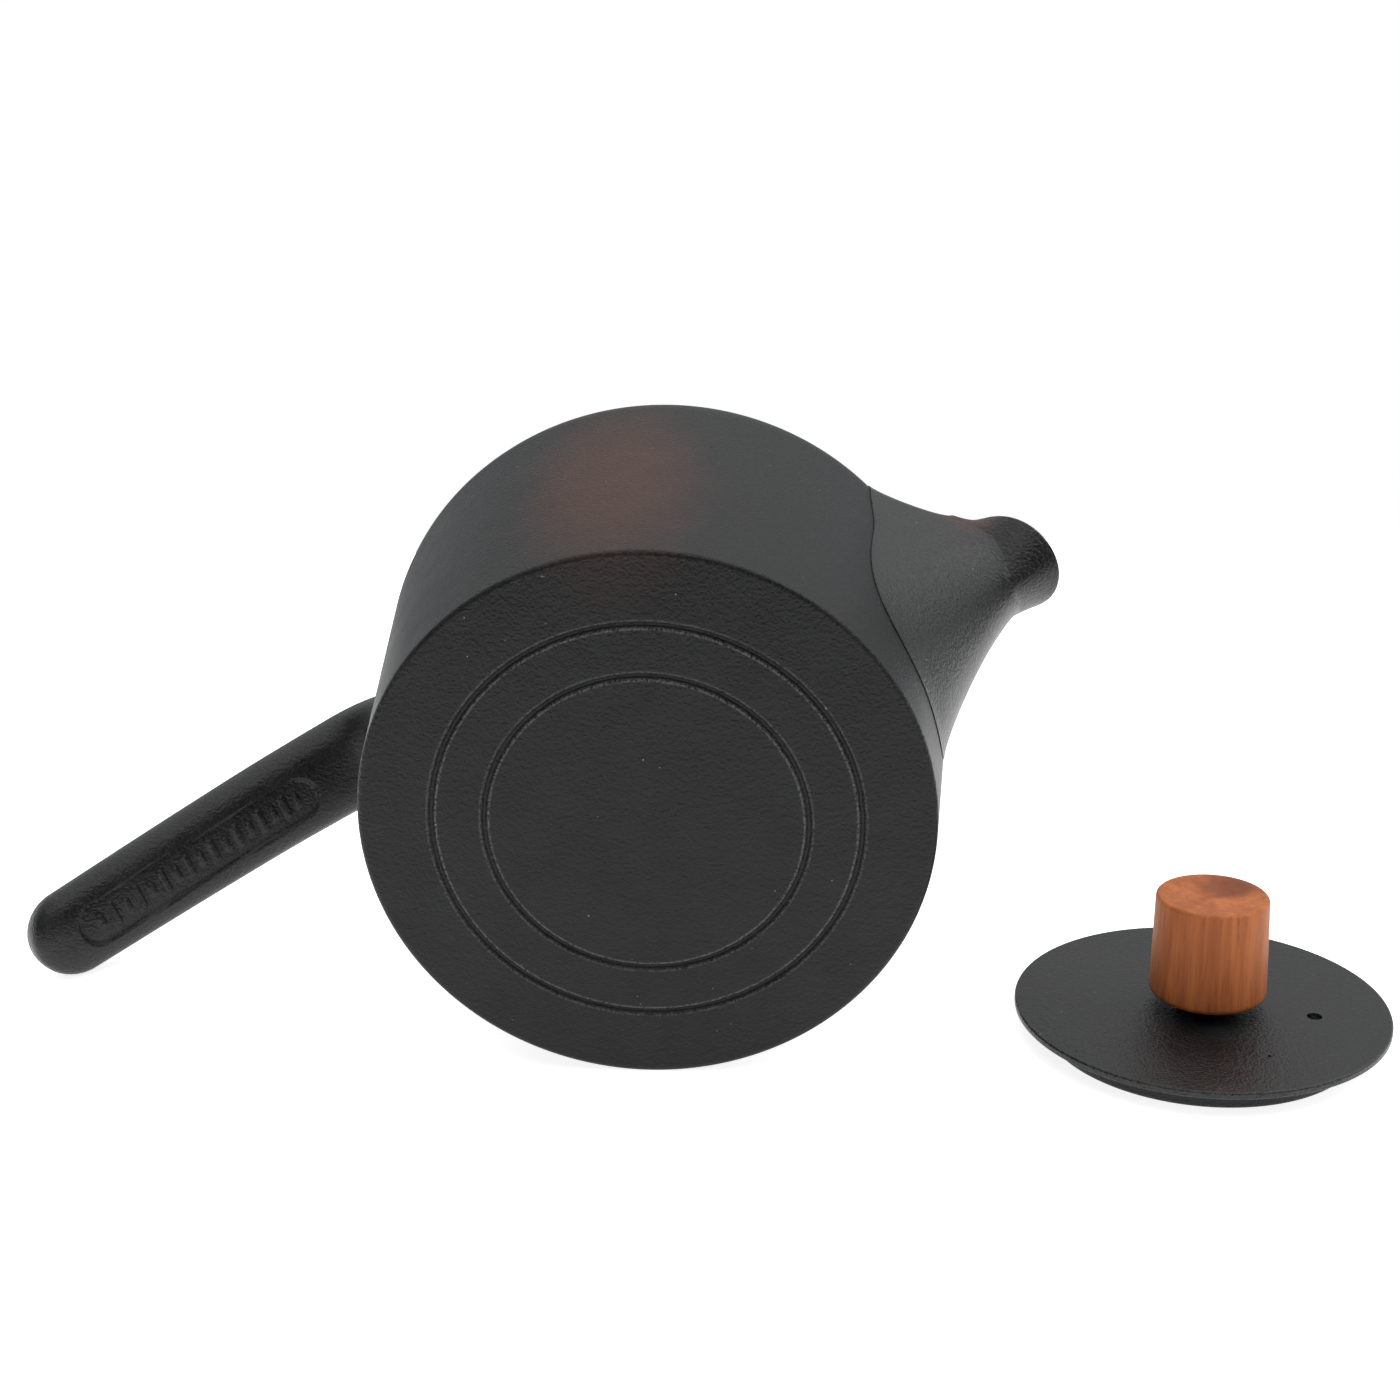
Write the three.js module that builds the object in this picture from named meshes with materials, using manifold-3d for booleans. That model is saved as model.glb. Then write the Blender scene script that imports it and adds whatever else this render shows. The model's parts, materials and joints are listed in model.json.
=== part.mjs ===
// A small cast-iron teapot laid on its side, with its lid laid flat beside it.
//
// Units are millimetres and +Z is up, away from the surface that the set lies on. The pot is drawn
// upright in its own group, with its origin in the middle of its bottom, +Z through its mouth and
// +X towards its spout, and the group is then laid on its tapered side. The lid is drawn in a
// second group, with its origin on the surface under its middle.
import * as THREE from 'three';
import { ParametricGeometry } from 'three/addons/geometries/ParametricGeometry.js';
import { mergeVertices } from 'three/addons/utils/BufferGeometryUtils.js';
import Module from 'manifold-3d';

const wasm = await Module();
wasm.setup();

// ---------------------------------------------------------------- driving dimensions

const DEG = Math.PI / 180;
const GAP = 0.3; // joint line between two pieces that touch
const TURNS = 72; // sides of a round casting

const BOTTOM_RADIUS = 55;
const TAPER = 5.72 * DEG; // the side leans out by this much
const SIDE_HEIGHT = 70.5; // height at which the side turns into the shoulder
const SHOULDER_RADIUS = 12;
const DECK_SLOPE = 5 * DEG; // the deck rises towards the mouth
const WALL = 3.2;
const FLOOR = 4.5;
const FLOOR_CORNER = 3; // bevel between the floor and the wall, inside
const RIM_CHAMFER = 0.9;
const GROOVE_RADII = [30.8, 40.9];
const GROOVE_WIDTH = 2.2;
const GROOVE_DEPTH = 0.8;

const LID_RADIUS = 37.5;
const LID_EDGE = 1.8; // thickness of the lid's edge
const LID_TOP = 6.6; // height of the lid's face above the foot of its skirt
const LID_WEB = 3.0; // thickness of the lid in its middle
const LID_BEVEL = 2.6; // the plate's underside slopes in by this much to the skirt
const LID_BEVEL_DROP = 0.6; // and down by this much past the edge
const LID_EDGE_ROUND = 0.35;
const SKIRT_RADIUS = 31.5;
const SKIRT_WALL = 3;
const VENT_RADIUS = 1.5;
const VENT_REACH = 22.4;
const VENT_BEARING = -19 * DEG;
const SCREW_HOLE = 2.6;
const KNOB_SHIFT = 1.3; // the knob stands a little off the lid's middle

const LID_PLAY = 0.6; // between the lid and the deck, all round
const SEAT_RADIUS = LID_RADIUS + LID_PLAY;
const MOUTH_RADIUS = 32.3;
const BASKET_SEAT_RADIUS = 34.8;
const BASKET_SEAT_DEPTH = 1.3;

const SPOUT_REACH = 79.4; // from the pot's axis to the middle of the spout's lip
const SPOUT_LIP_HEIGHT = 68.6;
const SPOUT_PITCH = 31 * DEG; // the nozzle points up by this much
const LIP_PITCH = 50 * DEG; // its lip is cut more steeply
const NOZZLE_RADIUS = 11.3;
const NOZZLE_LENGTH = [3, 14]; // at its top and along its underside
const BORE_RADIUS = 8.3;
const SPOUT_FOOT = 18; // where the spout starts on the side, measured along the side
const SPOUT_CROWN = 88;
const SPOUT_HALF_WIDTH = [22, 32]; // at its foot and at its crown
const SPOUT_ROOT = { x: 40, z: 50 }; // a point inside the pot that the filled spout starts from
const SPOUT_AIM = { share: 0.15, height: 12 }; // the flare heads for a point this far above its foot's middle
const SPOUT_NARROWING = 0.85;
const SPOUT_EXPONENT = 3; // 2 is an ellipse, and more is squarer
const SPOUT_INSET = 0.35; // share of the way from its foot to its root, for the first ring inside the wall

const SIDE_PULL = 0.35; // how firmly the flare follows the pot's side
const NOZZLE_PULL = [0.3, 0.75]; // and the nozzle, at its top and along its underside

const HANDLE_WIDTH = [24.6, 18.8]; // at its root and at its tip
const HANDLE_THICKNESS = [14.5, 12];
const HANDLE_TIP = [-151.2, 41.4]; // where its middle line ends, in x and z
const HANDLE_ELBOW = [-80, 93.6];
const HANDLE_EXPONENT = 2.8;
const PANEL_LENGTH = 58;
const PANEL_WIDTH = 9.5;
const PANEL_DEPTH = 0.9;
const PANEL_START = 18; // from the tip
const PIP_COUNT = 9;
const PIP_RADIUS = 1.5;

const KNOB_RADIUS = [11.7, 11.15]; // at its foot and at its top
const KNOB_HEIGHT = 21.6;
const KNOB_ROUND = 1.6;
const KNOB_DISH = 0.5;
const COLLAR_RADIUS = 6.5;
const COLLAR_HEIGHT = 1.8;
const SCREW_RADIUS = 2;
const SCREW_LENGTH = 17;
const SCREW_HEAD = { radius: 4, height: 1.7 };
const WASHER = { radius: 6, height: 0.8 };
const SCREW_POINT = 2; // length of its tapered end
const SCREW_PLAY = 0.3;
const SCREW_SLOT = { width: 1, depth: 0.8 };

const BASKET_RADIUS = 29.5;
const BASKET_TAPER = 2.5; // the basket's floor is this much smaller in radius
const BASKET_DEPTH = 58;
const BASKET_LIP = 4; // depth of the rim's own short wall
const BASKET_FLANGE = 0.8; // thickness of the rim's flange
const BASKET_HEM = 1; // height and width of the floor's turned-up edge
const SHEET = 0.6;

const POT_PLACE = { x: -10.8, y: 344.6, yaw: -3.15 * DEG, spin: -20.4 * DEG };
const LID_PLACE = { x: 100.8, y: 361.4 };

// ---------------------------------------------------------------- materials

const finish = (name, color, roughness, metalness) => {
  const material = new THREE.MeshStandardMaterial({ color, roughness, metalness });
  material.name = name;
  return material;
};
const CAST_IRON = ['black cast iron', 0x26282a, 0.62, 0.3];
const TEAK = ['oiled teak', 0xa85d33, 0.5, 0];
const STEEL = ['stainless steel', 0xb9bcbf, 0.3, 1];
const DARK_STEEL = ['blackened steel', 0x1c1d1f, 0.45, 0.6];
const SILICONE = ['black silicone', 0x202122, 0.7, 0];

// ---------------------------------------------------------------- solids

const at = (x, y) => new THREE.Vector2(x, y);

/** Closed mesh as a solid, with shared vertices, no collapsed faces and its faces pointing out. */
function solidOf(geometry) {
  const bare = geometry.clone();
  bare.deleteAttribute('normal');
  bare.deleteAttribute('uv');
  const merged = mergeVertices(bare, 1e-4);
  const points = merged.attributes.position;
  const faces = [];
  let volume = 0;
  const corner = [new THREE.Vector3(), new THREE.Vector3(), new THREE.Vector3()];
  for (let i = 0; i < merged.index.count; i += 3) {
    const face = [0, 1, 2].map((k) => merged.index.getX(i + k));
    if (new Set(face).size < 3) continue;
    face.forEach((vertex, k) => corner[k].fromBufferAttribute(points, vertex));
    volume += corner[0].dot(corner[1].clone().cross(corner[2]));
    faces.push(face);
  }
  if (volume < 0) faces.forEach((face) => face.reverse());
  return new wasm.Manifold(new wasm.Mesh({
    numProp: 3,
    vertProperties: new Float32Array(points.array),
    triVerts: new Uint32Array(faces.flat()),
  }));
}

/** Named mesh of a solid, or of a closed geometry. */
function piece(name, shape, look) {
  const solid = shape.isBufferGeometry ? solidOf(shape) : shape;
  const { vertProperties, triVerts } = solid.getMesh();
  const geometry = new THREE.BufferGeometry();
  geometry.setAttribute('position', new THREE.BufferAttribute(vertProperties, 3));
  geometry.setIndex(new THREE.BufferAttribute(triVerts, 1));
  geometry.computeVertexNormals();
  const mesh = new THREE.Mesh(geometry, finish(...look));
  mesh.name = name;
  return mesh;
}

/** Round solid about +Z from a profile of (radius, height) points. */
function turned(profile, sides = TURNS) {
  return new THREE.LatheGeometry(profile, sides).rotateX(Math.PI / 2);
}

/** Points of an arc of (radius, height), from one angle to another. */
function arc(centre, radius, from, to, steps) {
  return Array.from({ length: steps + 1 }, (_, i) => {
    const angle = from + ((to - from) * i) / steps;
    return at(centre.x + radius * Math.cos(angle), centre.y + radius * Math.sin(angle));
  });
}

/** Plain ring between two radii and two heights. */
function ring(inner, outer, low, high, sides) {
  return turned([at(inner, low), at(outer, low), at(outer, high), at(inner, high), at(inner, low)], sides);
}

const sideRadius = (height) => BOTTOM_RADIUS + height * Math.tan(TAPER);
const mix = (range, t) => range[0] + (range[1] - range[0]) * t;
const signedPower = (value, power) => Math.sign(value) * Math.abs(value) ** power;

// ---------------------------------------------------------------- the pot's own outline

/** Corner points of the shell at a distance inside its outer face (negative for outside). */
function shellCorners(inset) {
  const shoulder = SHOULDER_RADIUS - inset;
  const centre = at(
    sideRadius(SIDE_HEIGHT) - SHOULDER_RADIUS * Math.cos(TAPER),
    SIDE_HEIGHT + SHOULDER_RADIUS * Math.sin(TAPER),
  );
  const bend = arc(centre, shoulder, -TAPER, Math.PI / 2 - DECK_SLOPE, 7);
  return { bend, foot: BOTTOM_RADIUS - inset / Math.cos(TAPER) };
}

/** Height of the deck over a radius. */
function deckHeight(radius, inset = 0) {
  const last = shellCorners(inset).bend.at(-1);
  return last.y + (last.x - radius) * Math.tan(DECK_SLOPE);
}

const DECK_EDGE = deckHeight(SEAT_RADIUS);
const LID_SEAT = DECK_EDGE - LID_EDGE;
const BASKET_SEAT = LID_SEAT - BASKET_SEAT_DEPTH;

/** Filled solid that stands a little outside the pot, which trims what is joined to it. */
function trimmer() {
  const { bend, foot } = shellCorners(-GAP);
  return solidOf(turned([at(0, -GAP), at(foot, -GAP), ...bend, at(0, bend.at(-1).y + 4)]));
}

/** Place of the lip's middle, the way that the nozzle points and the lip's own upward direction. */
function nozzle() {
  const out = new THREE.Vector3(Math.cos(SPOUT_PITCH), 0, Math.sin(SPOUT_PITCH));
  const up = new THREE.Vector3(-Math.sin(LIP_PITCH), 0, Math.cos(LIP_PITCH));
  return { out, up, lip: new THREE.Vector3(SPOUT_REACH, 0, SPOUT_LIP_HEIGHT) };
}

/** Middle line of the passage from the pot's inside to the spout's lip, in x and z. */
function boreLine() {
  const { out, lip } = nozzle();
  return new THREE.CatmullRomCurve3([
    new THREE.Vector3(BOTTOM_RADIUS - 3, 0, 54),
    new THREE.Vector3(BOTTOM_RADIUS + 5, 0, 56.5),
    lip.clone().addScaledVector(out, -NOZZLE_LENGTH[1]),
    lip,
    lip.clone().addScaledVector(out, 6),
  ]);
}

/** Tube of round section along a curve in the middle plane, closed at both ends. */
function tube(curve, radius, sides, steps) {
  const side = new THREE.Vector3(0, 1, 0);
  const surface = (u, v, target) => {
    const inner = THREE.MathUtils.clamp((v * (steps + 2) - 1) / steps, 0, 1);
    const reach = v <= 0 || v >= 1 ? 0 : radius;
    const up = side.clone().cross(curve.getTangent(inner)).normalize();
    target.copy(curve.getPoint(inner));
    target.addScaledVector(side, reach * Math.cos(2 * Math.PI * u));
    target.addScaledVector(up, reach * Math.sin(2 * Math.PI * u));
  };
  return new ParametricGeometry(surface, sides, steps + 2);
}

const bore = () => solidOf(tube(boreLine(), BORE_RADIUS, 28, 14));

// ---------------------------------------------------------------- pot

function body() {
  const { bend, foot } = shellCorners(0);
  const inner = shellCorners(WALL);
  const grooves = GROOVE_RADII.flatMap((radius) => [
    at(radius - GROOVE_WIDTH / 2, 0),
    at(radius, GROOVE_DEPTH),
    at(radius + GROOVE_WIDTH / 2, 0),
  ]);
  const profile = [
    at(0, 0),
    ...grooves,
    at(foot - RIM_CHAMFER, 0),
    at(foot + RIM_CHAMFER * Math.tan(TAPER), RIM_CHAMFER),
    ...bend,
    at(SEAT_RADIUS, DECK_EDGE),
    at(SEAT_RADIUS, LID_SEAT),
    at(BASKET_SEAT_RADIUS, LID_SEAT),
    at(BASKET_SEAT_RADIUS, BASKET_SEAT),
    at(MOUTH_RADIUS, BASKET_SEAT),
    at(MOUTH_RADIUS, deckHeight(MOUTH_RADIUS, WALL + LID_EDGE + BASKET_SEAT_DEPTH)),
    ...inner.bend.reverse(),
    at(inner.foot + (FLOOR + FLOOR_CORNER) * Math.tan(TAPER), FLOOR + FLOOR_CORNER),
    at(inner.foot - FLOOR_CORNER, FLOOR),
    at(0, FLOOR),
  ];
  return piece('body', solidOf(turned(profile)).subtract(bore()), CAST_IRON);
}

/** Point and inward direction on the pot's side, for a place on the spout's foot line. */
function spoutFoot(turn) {
  const middle = (SPOUT_FOOT + SPOUT_CROWN) / 2;
  const half = (SPOUT_CROWN - SPOUT_FOOT) / 2;
  const along = middle + half * signedPower(Math.sin(turn), 2 / SPOUT_EXPONENT);
  const width = mix(SPOUT_HALF_WIDTH, THREE.MathUtils.smoothstep(along, middle, SPOUT_CROWN));
  const across = width * signedPower(Math.cos(turn), 2 / SPOUT_EXPONENT);
  const place = onSide(along, across);
  const aim = mix([along, middle + SPOUT_AIM.height], SPOUT_AIM.share);
  const inward = onSide(aim, across * SPOUT_NARROWING).sub(place).normalize();
  return { place, inward };
}

/** Point on the pot's outer face, from a distance up its outline and a distance across it. */
function onSide(along, across) {
  const { bend } = shellCorners(0);
  const slant = SIDE_HEIGHT / Math.cos(TAPER);
  const sweep = Math.PI / 2 - DECK_SLOPE + TAPER;
  let radius = BOTTOM_RADIUS + along * Math.sin(TAPER);
  let height = along * Math.cos(TAPER);
  if (along > slant) {
    const angle = Math.min((along - slant) / SHOULDER_RADIUS, sweep) - TAPER;
    const past = Math.max(along - slant - sweep * SHOULDER_RADIUS, 0);
    const centre = at(bend[0].x - SHOULDER_RADIUS * Math.cos(TAPER), bend[0].y + SHOULDER_RADIUS * Math.sin(TAPER));
    radius = centre.x + SHOULDER_RADIUS * Math.cos(angle) - past * Math.cos(DECK_SLOPE);
    height = centre.y + SHOULDER_RADIUS * Math.sin(angle) + past * Math.sin(DECK_SLOPE);
  }
  const bearing = across / sideRadius(Math.min(height, SIDE_HEIGHT));
  return new THREE.Vector3(radius * Math.cos(bearing), radius * Math.sin(bearing), height);
}

function spout() {
  const { out, up, lip } = nozzle();
  const root = new THREE.Vector3(SPOUT_ROOT.x, 0, SPOUT_ROOT.z);
  const flareSteps = 12;
  const stacks = flareSteps + 4;
  const surface = (u, v, target) => {
    const step = Math.round(v * stacks);
    const turn = 2 * Math.PI * u;
    const round = new THREE.Vector3(0, NOZZLE_RADIUS * Math.cos(turn), 0);
    round.addScaledVector(up, NOZZLE_RADIUS * Math.sin(turn));
    const { place, inward } = spoutFoot(turn);
    if (step === 0) return target.copy(root);
    if (step === 1) return target.copy(place).lerp(root, SPOUT_INSET);
    if (step === stacks) return target.copy(lip);
    if (step === stacks - 1) return target.copy(lip).add(round);
    const t = (step - 2) / flareSteps;
    const underside = (1 - Math.sin(turn)) / 2;
    const length = mix(NOZZLE_LENGTH, underside ** 2);
    const end = lip.clone().add(round).addScaledVector(out, -length);
    const pull = place.distanceTo(end);
    target.copy(place).multiplyScalar(2 * t ** 3 - 3 * t ** 2 + 1);
    target.addScaledVector(end, 3 * t ** 2 - 2 * t ** 3);
    target.addScaledVector(inward, SIDE_PULL * pull * (t ** 3 - 2 * t ** 2 + t));
    return target.addScaledVector(out, mix(NOZZLE_PULL, underside) * pull * (t ** 3 - t ** 2));
  };
  const flare = solidOf(new ParametricGeometry(surface, 44, stacks));
  return piece('spout', flare.subtract(trimmer()).subtract(bore()), CAST_IRON);
}

// ---------------------------------------------------------------- handle

/** Middle line of the handle, from inside the shoulder over the elbow to the tip. */
function handleLine() {
  const points = [[-55, 66], [-61, 82], [-70, 91.5], HANDLE_ELBOW, [-96.5, 84.8], [-118, 68.8], HANDLE_TIP];
  return new THREE.CatmullRomCurve3(points.map(([x, z]) => new THREE.Vector3(x, 0, z)), false, 'centripetal');
}

/** Frame of the handle at a distance from its tip: place, direction to the tip and upward normal. */
function handleFrame(fromTip) {
  const line = handleLine();
  const t = 1 - fromTip / line.getLength();
  const along = line.getTangentAt(t);
  return { place: line.getPointAt(t), along, up: new THREE.Vector3(-along.z, 0, along.x).negate() };
}

function handle() {
  const line = handleLine();
  const length = line.getLength();
  const steps = 34;
  const tipRound = HANDLE_WIDTH[1] / 2;
  const surface = (u, v, target) => {
    const tipSteps = 8;
    const straight = steps - tipSteps - 1;
    const step = Math.round(v * steps);
    let fromTip = tipRound + ((length - tipRound) * (straight - (step - 1))) / straight;
    let shrink = step === 0 ? 0 : 1;
    if (step - 1 > straight) {
      const angle = ((step - 1 - straight) / tipSteps) * (Math.PI / 2);
      fromTip = tipRound * (1 - Math.sin(angle));
      shrink = Math.cos(angle);
    }
    if (step === 0) fromTip = length;
    const { place, up } = handleFrame(fromTip);
    const t = 1 - fromTip / length;
    const turn = 2 * Math.PI * u;
    const width = mix(HANDLE_WIDTH, t) * 0.5 * shrink;
    const thickness = mix(HANDLE_THICKNESS, t) * 0.5 * shrink ** 0.6;
    target.copy(place);
    target.y += width * signedPower(Math.cos(turn), 2 / HANDLE_EXPONENT);
    target.addScaledVector(up, thickness * signedPower(Math.sin(turn), 2 / HANDLE_EXPONENT));
  };
  const bar = solidOf(new ParametricGeometry(surface, 28, steps));
  return piece('handle', bar.subtract(trimmer()).subtract(panel()).add(pips()), CAST_IRON);
}

/** Turns a geometry drawn on the XY plane, with +X to the tip, onto the handle's underside. */
function ontoUnderside(geometry, fromTip, depth) {
  const { place, along, up } = handleFrame(fromTip);
  const t = 1 - fromTip / handleLine().getLength();
  const side = new THREE.Vector3().crossVectors(up, along);
  const down = up.clone().negate();
  const matrix = new THREE.Matrix4().makeBasis(along, side.clone().negate(), down);
  matrix.setPosition(place.clone().addScaledVector(down, mix(HANDLE_THICKNESS, t) / 2 - depth));
  return geometry.applyMatrix4(matrix);
}

/** Long sunk panel with round ends. */
function panel() {
  const half = PANEL_LENGTH / 2 - PANEL_WIDTH / 2;
  const outline = new THREE.Shape();
  outline.absarc(half, 0, PANEL_WIDTH / 2, -Math.PI / 2, Math.PI / 2, false);
  outline.absarc(-half, 0, PANEL_WIDTH / 2, Math.PI / 2, 1.5 * Math.PI, false);
  outline.closePath();
  const block = new THREE.ExtrudeGeometry(outline, { depth: 6, bevelEnabled: false, curveSegments: 8 });
  return solidOf(ontoUnderside(block, PANEL_START + PANEL_LENGTH / 2, PANEL_DEPTH));
}

/** Row of plain round pips in the panel. */
function pips() {
  const pitch = (PANEL_LENGTH - PANEL_WIDTH) / (PIP_COUNT - 1);
  const shapes = Array.from({ length: PIP_COUNT }, (_, i) => {
    const pip = new THREE.CylinderGeometry(PIP_RADIUS * 0.8, PIP_RADIUS, 1.8, 10).rotateX(Math.PI / 2);
    pip.translate((i - (PIP_COUNT - 1) / 2) * pitch, 0, 0);
    return solidOf(ontoUnderside(pip, PANEL_START + PANEL_LENGTH / 2, PANEL_DEPTH + 0.4));
  });
  return shapes.reduce((all, shape) => all.add(shape));
}

// ---------------------------------------------------------------- tea basket

function basketRim() {
  const low = BASKET_SEAT + GAP;
  const outer = BASKET_SEAT_RADIUS - GAP;
  const inner = BASKET_RADIUS - SHEET;
  return piece('basket_rim', turned([
    at(inner, low - BASKET_LIP),
    at(inner + SHEET, low - BASKET_LIP),
    at(inner + SHEET, low),
    at(outer, low),
    at(outer, low + BASKET_FLANGE),
    at(inner, low + BASKET_FLANGE),
    at(inner, low - BASKET_LIP),
  ]), STEEL);
}

function basketWall() {
  const top = BASKET_SEAT - BASKET_LIP;
  const bottom = top - BASKET_DEPTH;
  const foot = BASKET_RADIUS - BASKET_TAPER;
  return piece('basket_wall', turned([
    at(foot - SHEET, bottom),
    at(foot, bottom),
    at(BASKET_RADIUS, top),
    at(BASKET_RADIUS - SHEET, top),
    at(foot - SHEET, bottom),
  ]), STEEL);
}

function basketFloor() {
  const top = BASKET_SEAT - BASKET_LIP - BASKET_DEPTH - GAP;
  const foot = BASKET_RADIUS - BASKET_TAPER;
  return piece('basket_floor', turned([
    at(0, top - BASKET_HEM),
    at(foot, top - BASKET_HEM),
    at(foot, top),
    at(foot - BASKET_HEM, top),
    at(foot - BASKET_HEM, top - BASKET_HEM + SHEET),
    at(0, top - BASKET_HEM + SHEET),
  ]), STEEL);
}

// ---------------------------------------------------------------- lid

function lidPlate() {
  const top = LID_TOP;
  const under = top - LID_WEB;
  const root = top - LID_EDGE - LID_BEVEL_DROP;
  const plate = solidOf(turned([
    at(0, under),
    at(SKIRT_RADIUS - SKIRT_WALL, under),
    at(SKIRT_RADIUS - SKIRT_WALL, 0),
    at(SKIRT_RADIUS, 0),
    at(SKIRT_RADIUS, root),
    at(LID_RADIUS - LID_BEVEL, root),
    at(LID_RADIUS, top - LID_EDGE / 2),
    at(LID_RADIUS, top - LID_EDGE_ROUND),
    at(LID_RADIUS - LID_EDGE_ROUND, top),
    at(0, top),
  ]));
  const vent = drilled(VENT_RADIUS, VENT_REACH * Math.cos(VENT_BEARING), VENT_REACH * Math.sin(VENT_BEARING));
  return piece('lid', plate.subtract(vent).subtract(drilled(SCREW_HOLE, KNOB_SHIFT, 0)), CAST_IRON);
}

/** Round drill through the lid. */
function drilled(radius, x, y) {
  const drill = new THREE.CylinderGeometry(radius, radius, 4 * LID_WEB, 24).rotateX(Math.PI / 2);
  return solidOf(drill.translate(x, y, LID_TOP));
}

const COLLAR_FOOT = LID_TOP + GAP;
const KNOB_FOOT = COLLAR_FOOT + COLLAR_HEIGHT + GAP;

function knobCollar() {
  return piece('knob_collar', ring(SCREW_HOLE, COLLAR_RADIUS, COLLAR_FOOT, COLLAR_FOOT + COLLAR_HEIGHT, 40), DARK_STEEL);
}

function knob() {
  const top = KNOB_FOOT + KNOB_HEIGHT;
  const [low, high] = KNOB_RADIUS.map((radius) => radius - KNOB_ROUND);
  const hole = SCREW_RADIUS + SCREW_PLAY;
  return piece('knob', turned([
    at(hole, KNOB_FOOT),
    ...arc(at(low, KNOB_FOOT + KNOB_ROUND), KNOB_ROUND, -Math.PI / 2, 0, 4),
    ...arc(at(high, top - KNOB_ROUND), KNOB_ROUND, 0, Math.PI / 2, 4),
    at(0, top - KNOB_DISH),
    at(0, KNOB_FOOT + SCREW_LENGTH - SCREW_POINT),
    at(hole, KNOB_FOOT + SCREW_LENGTH - SCREW_POINT - 1),
    at(hole, KNOB_FOOT),
  ], 48), TEAK);
}

const WASHER_TOP = LID_TOP - LID_WEB - GAP;
const SCREW_SEAT = WASHER_TOP - WASHER.height - GAP;

function screwWasher() {
  return piece('screw_washer', ring(SCREW_HOLE, WASHER.radius, WASHER_TOP - WASHER.height, WASHER_TOP, 32), SILICONE);
}

function knobScrew() {
  const { radius, height } = SCREW_HEAD;
  const shank = solidOf(turned([
    at(0, SCREW_SEAT - height),
    at(radius * 0.7, SCREW_SEAT - height),
    at(radius, SCREW_SEAT - height * 0.5),
    at(radius, SCREW_SEAT),
    at(SCREW_RADIUS, SCREW_SEAT),
    at(SCREW_RADIUS, SCREW_SEAT + SCREW_LENGTH - SCREW_POINT),
    at(0, SCREW_SEAT + SCREW_LENGTH),
  ], 32));
  const slot = new THREE.BoxGeometry(3 * radius, SCREW_SLOT.width, 2 * SCREW_SLOT.depth);
  slot.translate(0, 0, SCREW_SEAT - height);
  return piece('knob_screw', shank.subtract(solidOf(slot)), STEEL);
}

// ---------------------------------------------------------------- arrangement

/** The pot, upright, then spun about its own axis, laid on its side and turned on the surface. */
function pot() {
  const upright = new THREE.Group();
  upright.add(body(), spout(), handle(), basketRim(), basketWall(), basketFloor());
  upright.rotation.z = POT_PLACE.spin;
  const laid = new THREE.Group();
  laid.add(upright);
  laid.rotation.x = TAPER - Math.PI / 2;
  const placed = new THREE.Group();
  placed.add(laid);
  placed.rotation.z = POT_PLACE.yaw;
  placed.position.set(POT_PLACE.x, POT_PLACE.y, BOTTOM_RADIUS * Math.cos(TAPER));
  return placed;
}

function lid() {
  const grip = new THREE.Group();
  grip.add(knobCollar(), knob(), screwWasher(), knobScrew());
  grip.position.x = KNOB_SHIFT;
  const placed = new THREE.Group();
  placed.add(lidPlate(), grip);
  placed.position.set(LID_PLACE.x, LID_PLACE.y, 0);
  return placed;
}

/** The whole set, with its origin on the surface under the middle of its box. */
function teapot() {
  const set = new THREE.Group();
  set.add(pot(), lid());
  set.updateMatrixWorld(true);
  const box = new THREE.Box3().setFromObject(set, true);
  const middle = box.getCenter(new THREE.Vector3());
  set.children.forEach((child) => child.position.sub(new THREE.Vector3(middle.x, middle.y, box.min.z)));
  return set;
}

export default teapot();
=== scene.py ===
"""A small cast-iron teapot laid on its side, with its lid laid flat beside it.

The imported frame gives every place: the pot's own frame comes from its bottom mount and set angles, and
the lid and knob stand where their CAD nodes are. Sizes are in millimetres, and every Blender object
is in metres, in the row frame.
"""

from __future__ import annotations

import json
import logging
import math
from dataclasses import dataclass, field
from enum import Enum
from itertools import product
from typing import Any, Iterable, Mapping, Sequence, Union

import bmesh
import bpy
import numpy as np
from mathutils import Matrix, Vector


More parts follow.
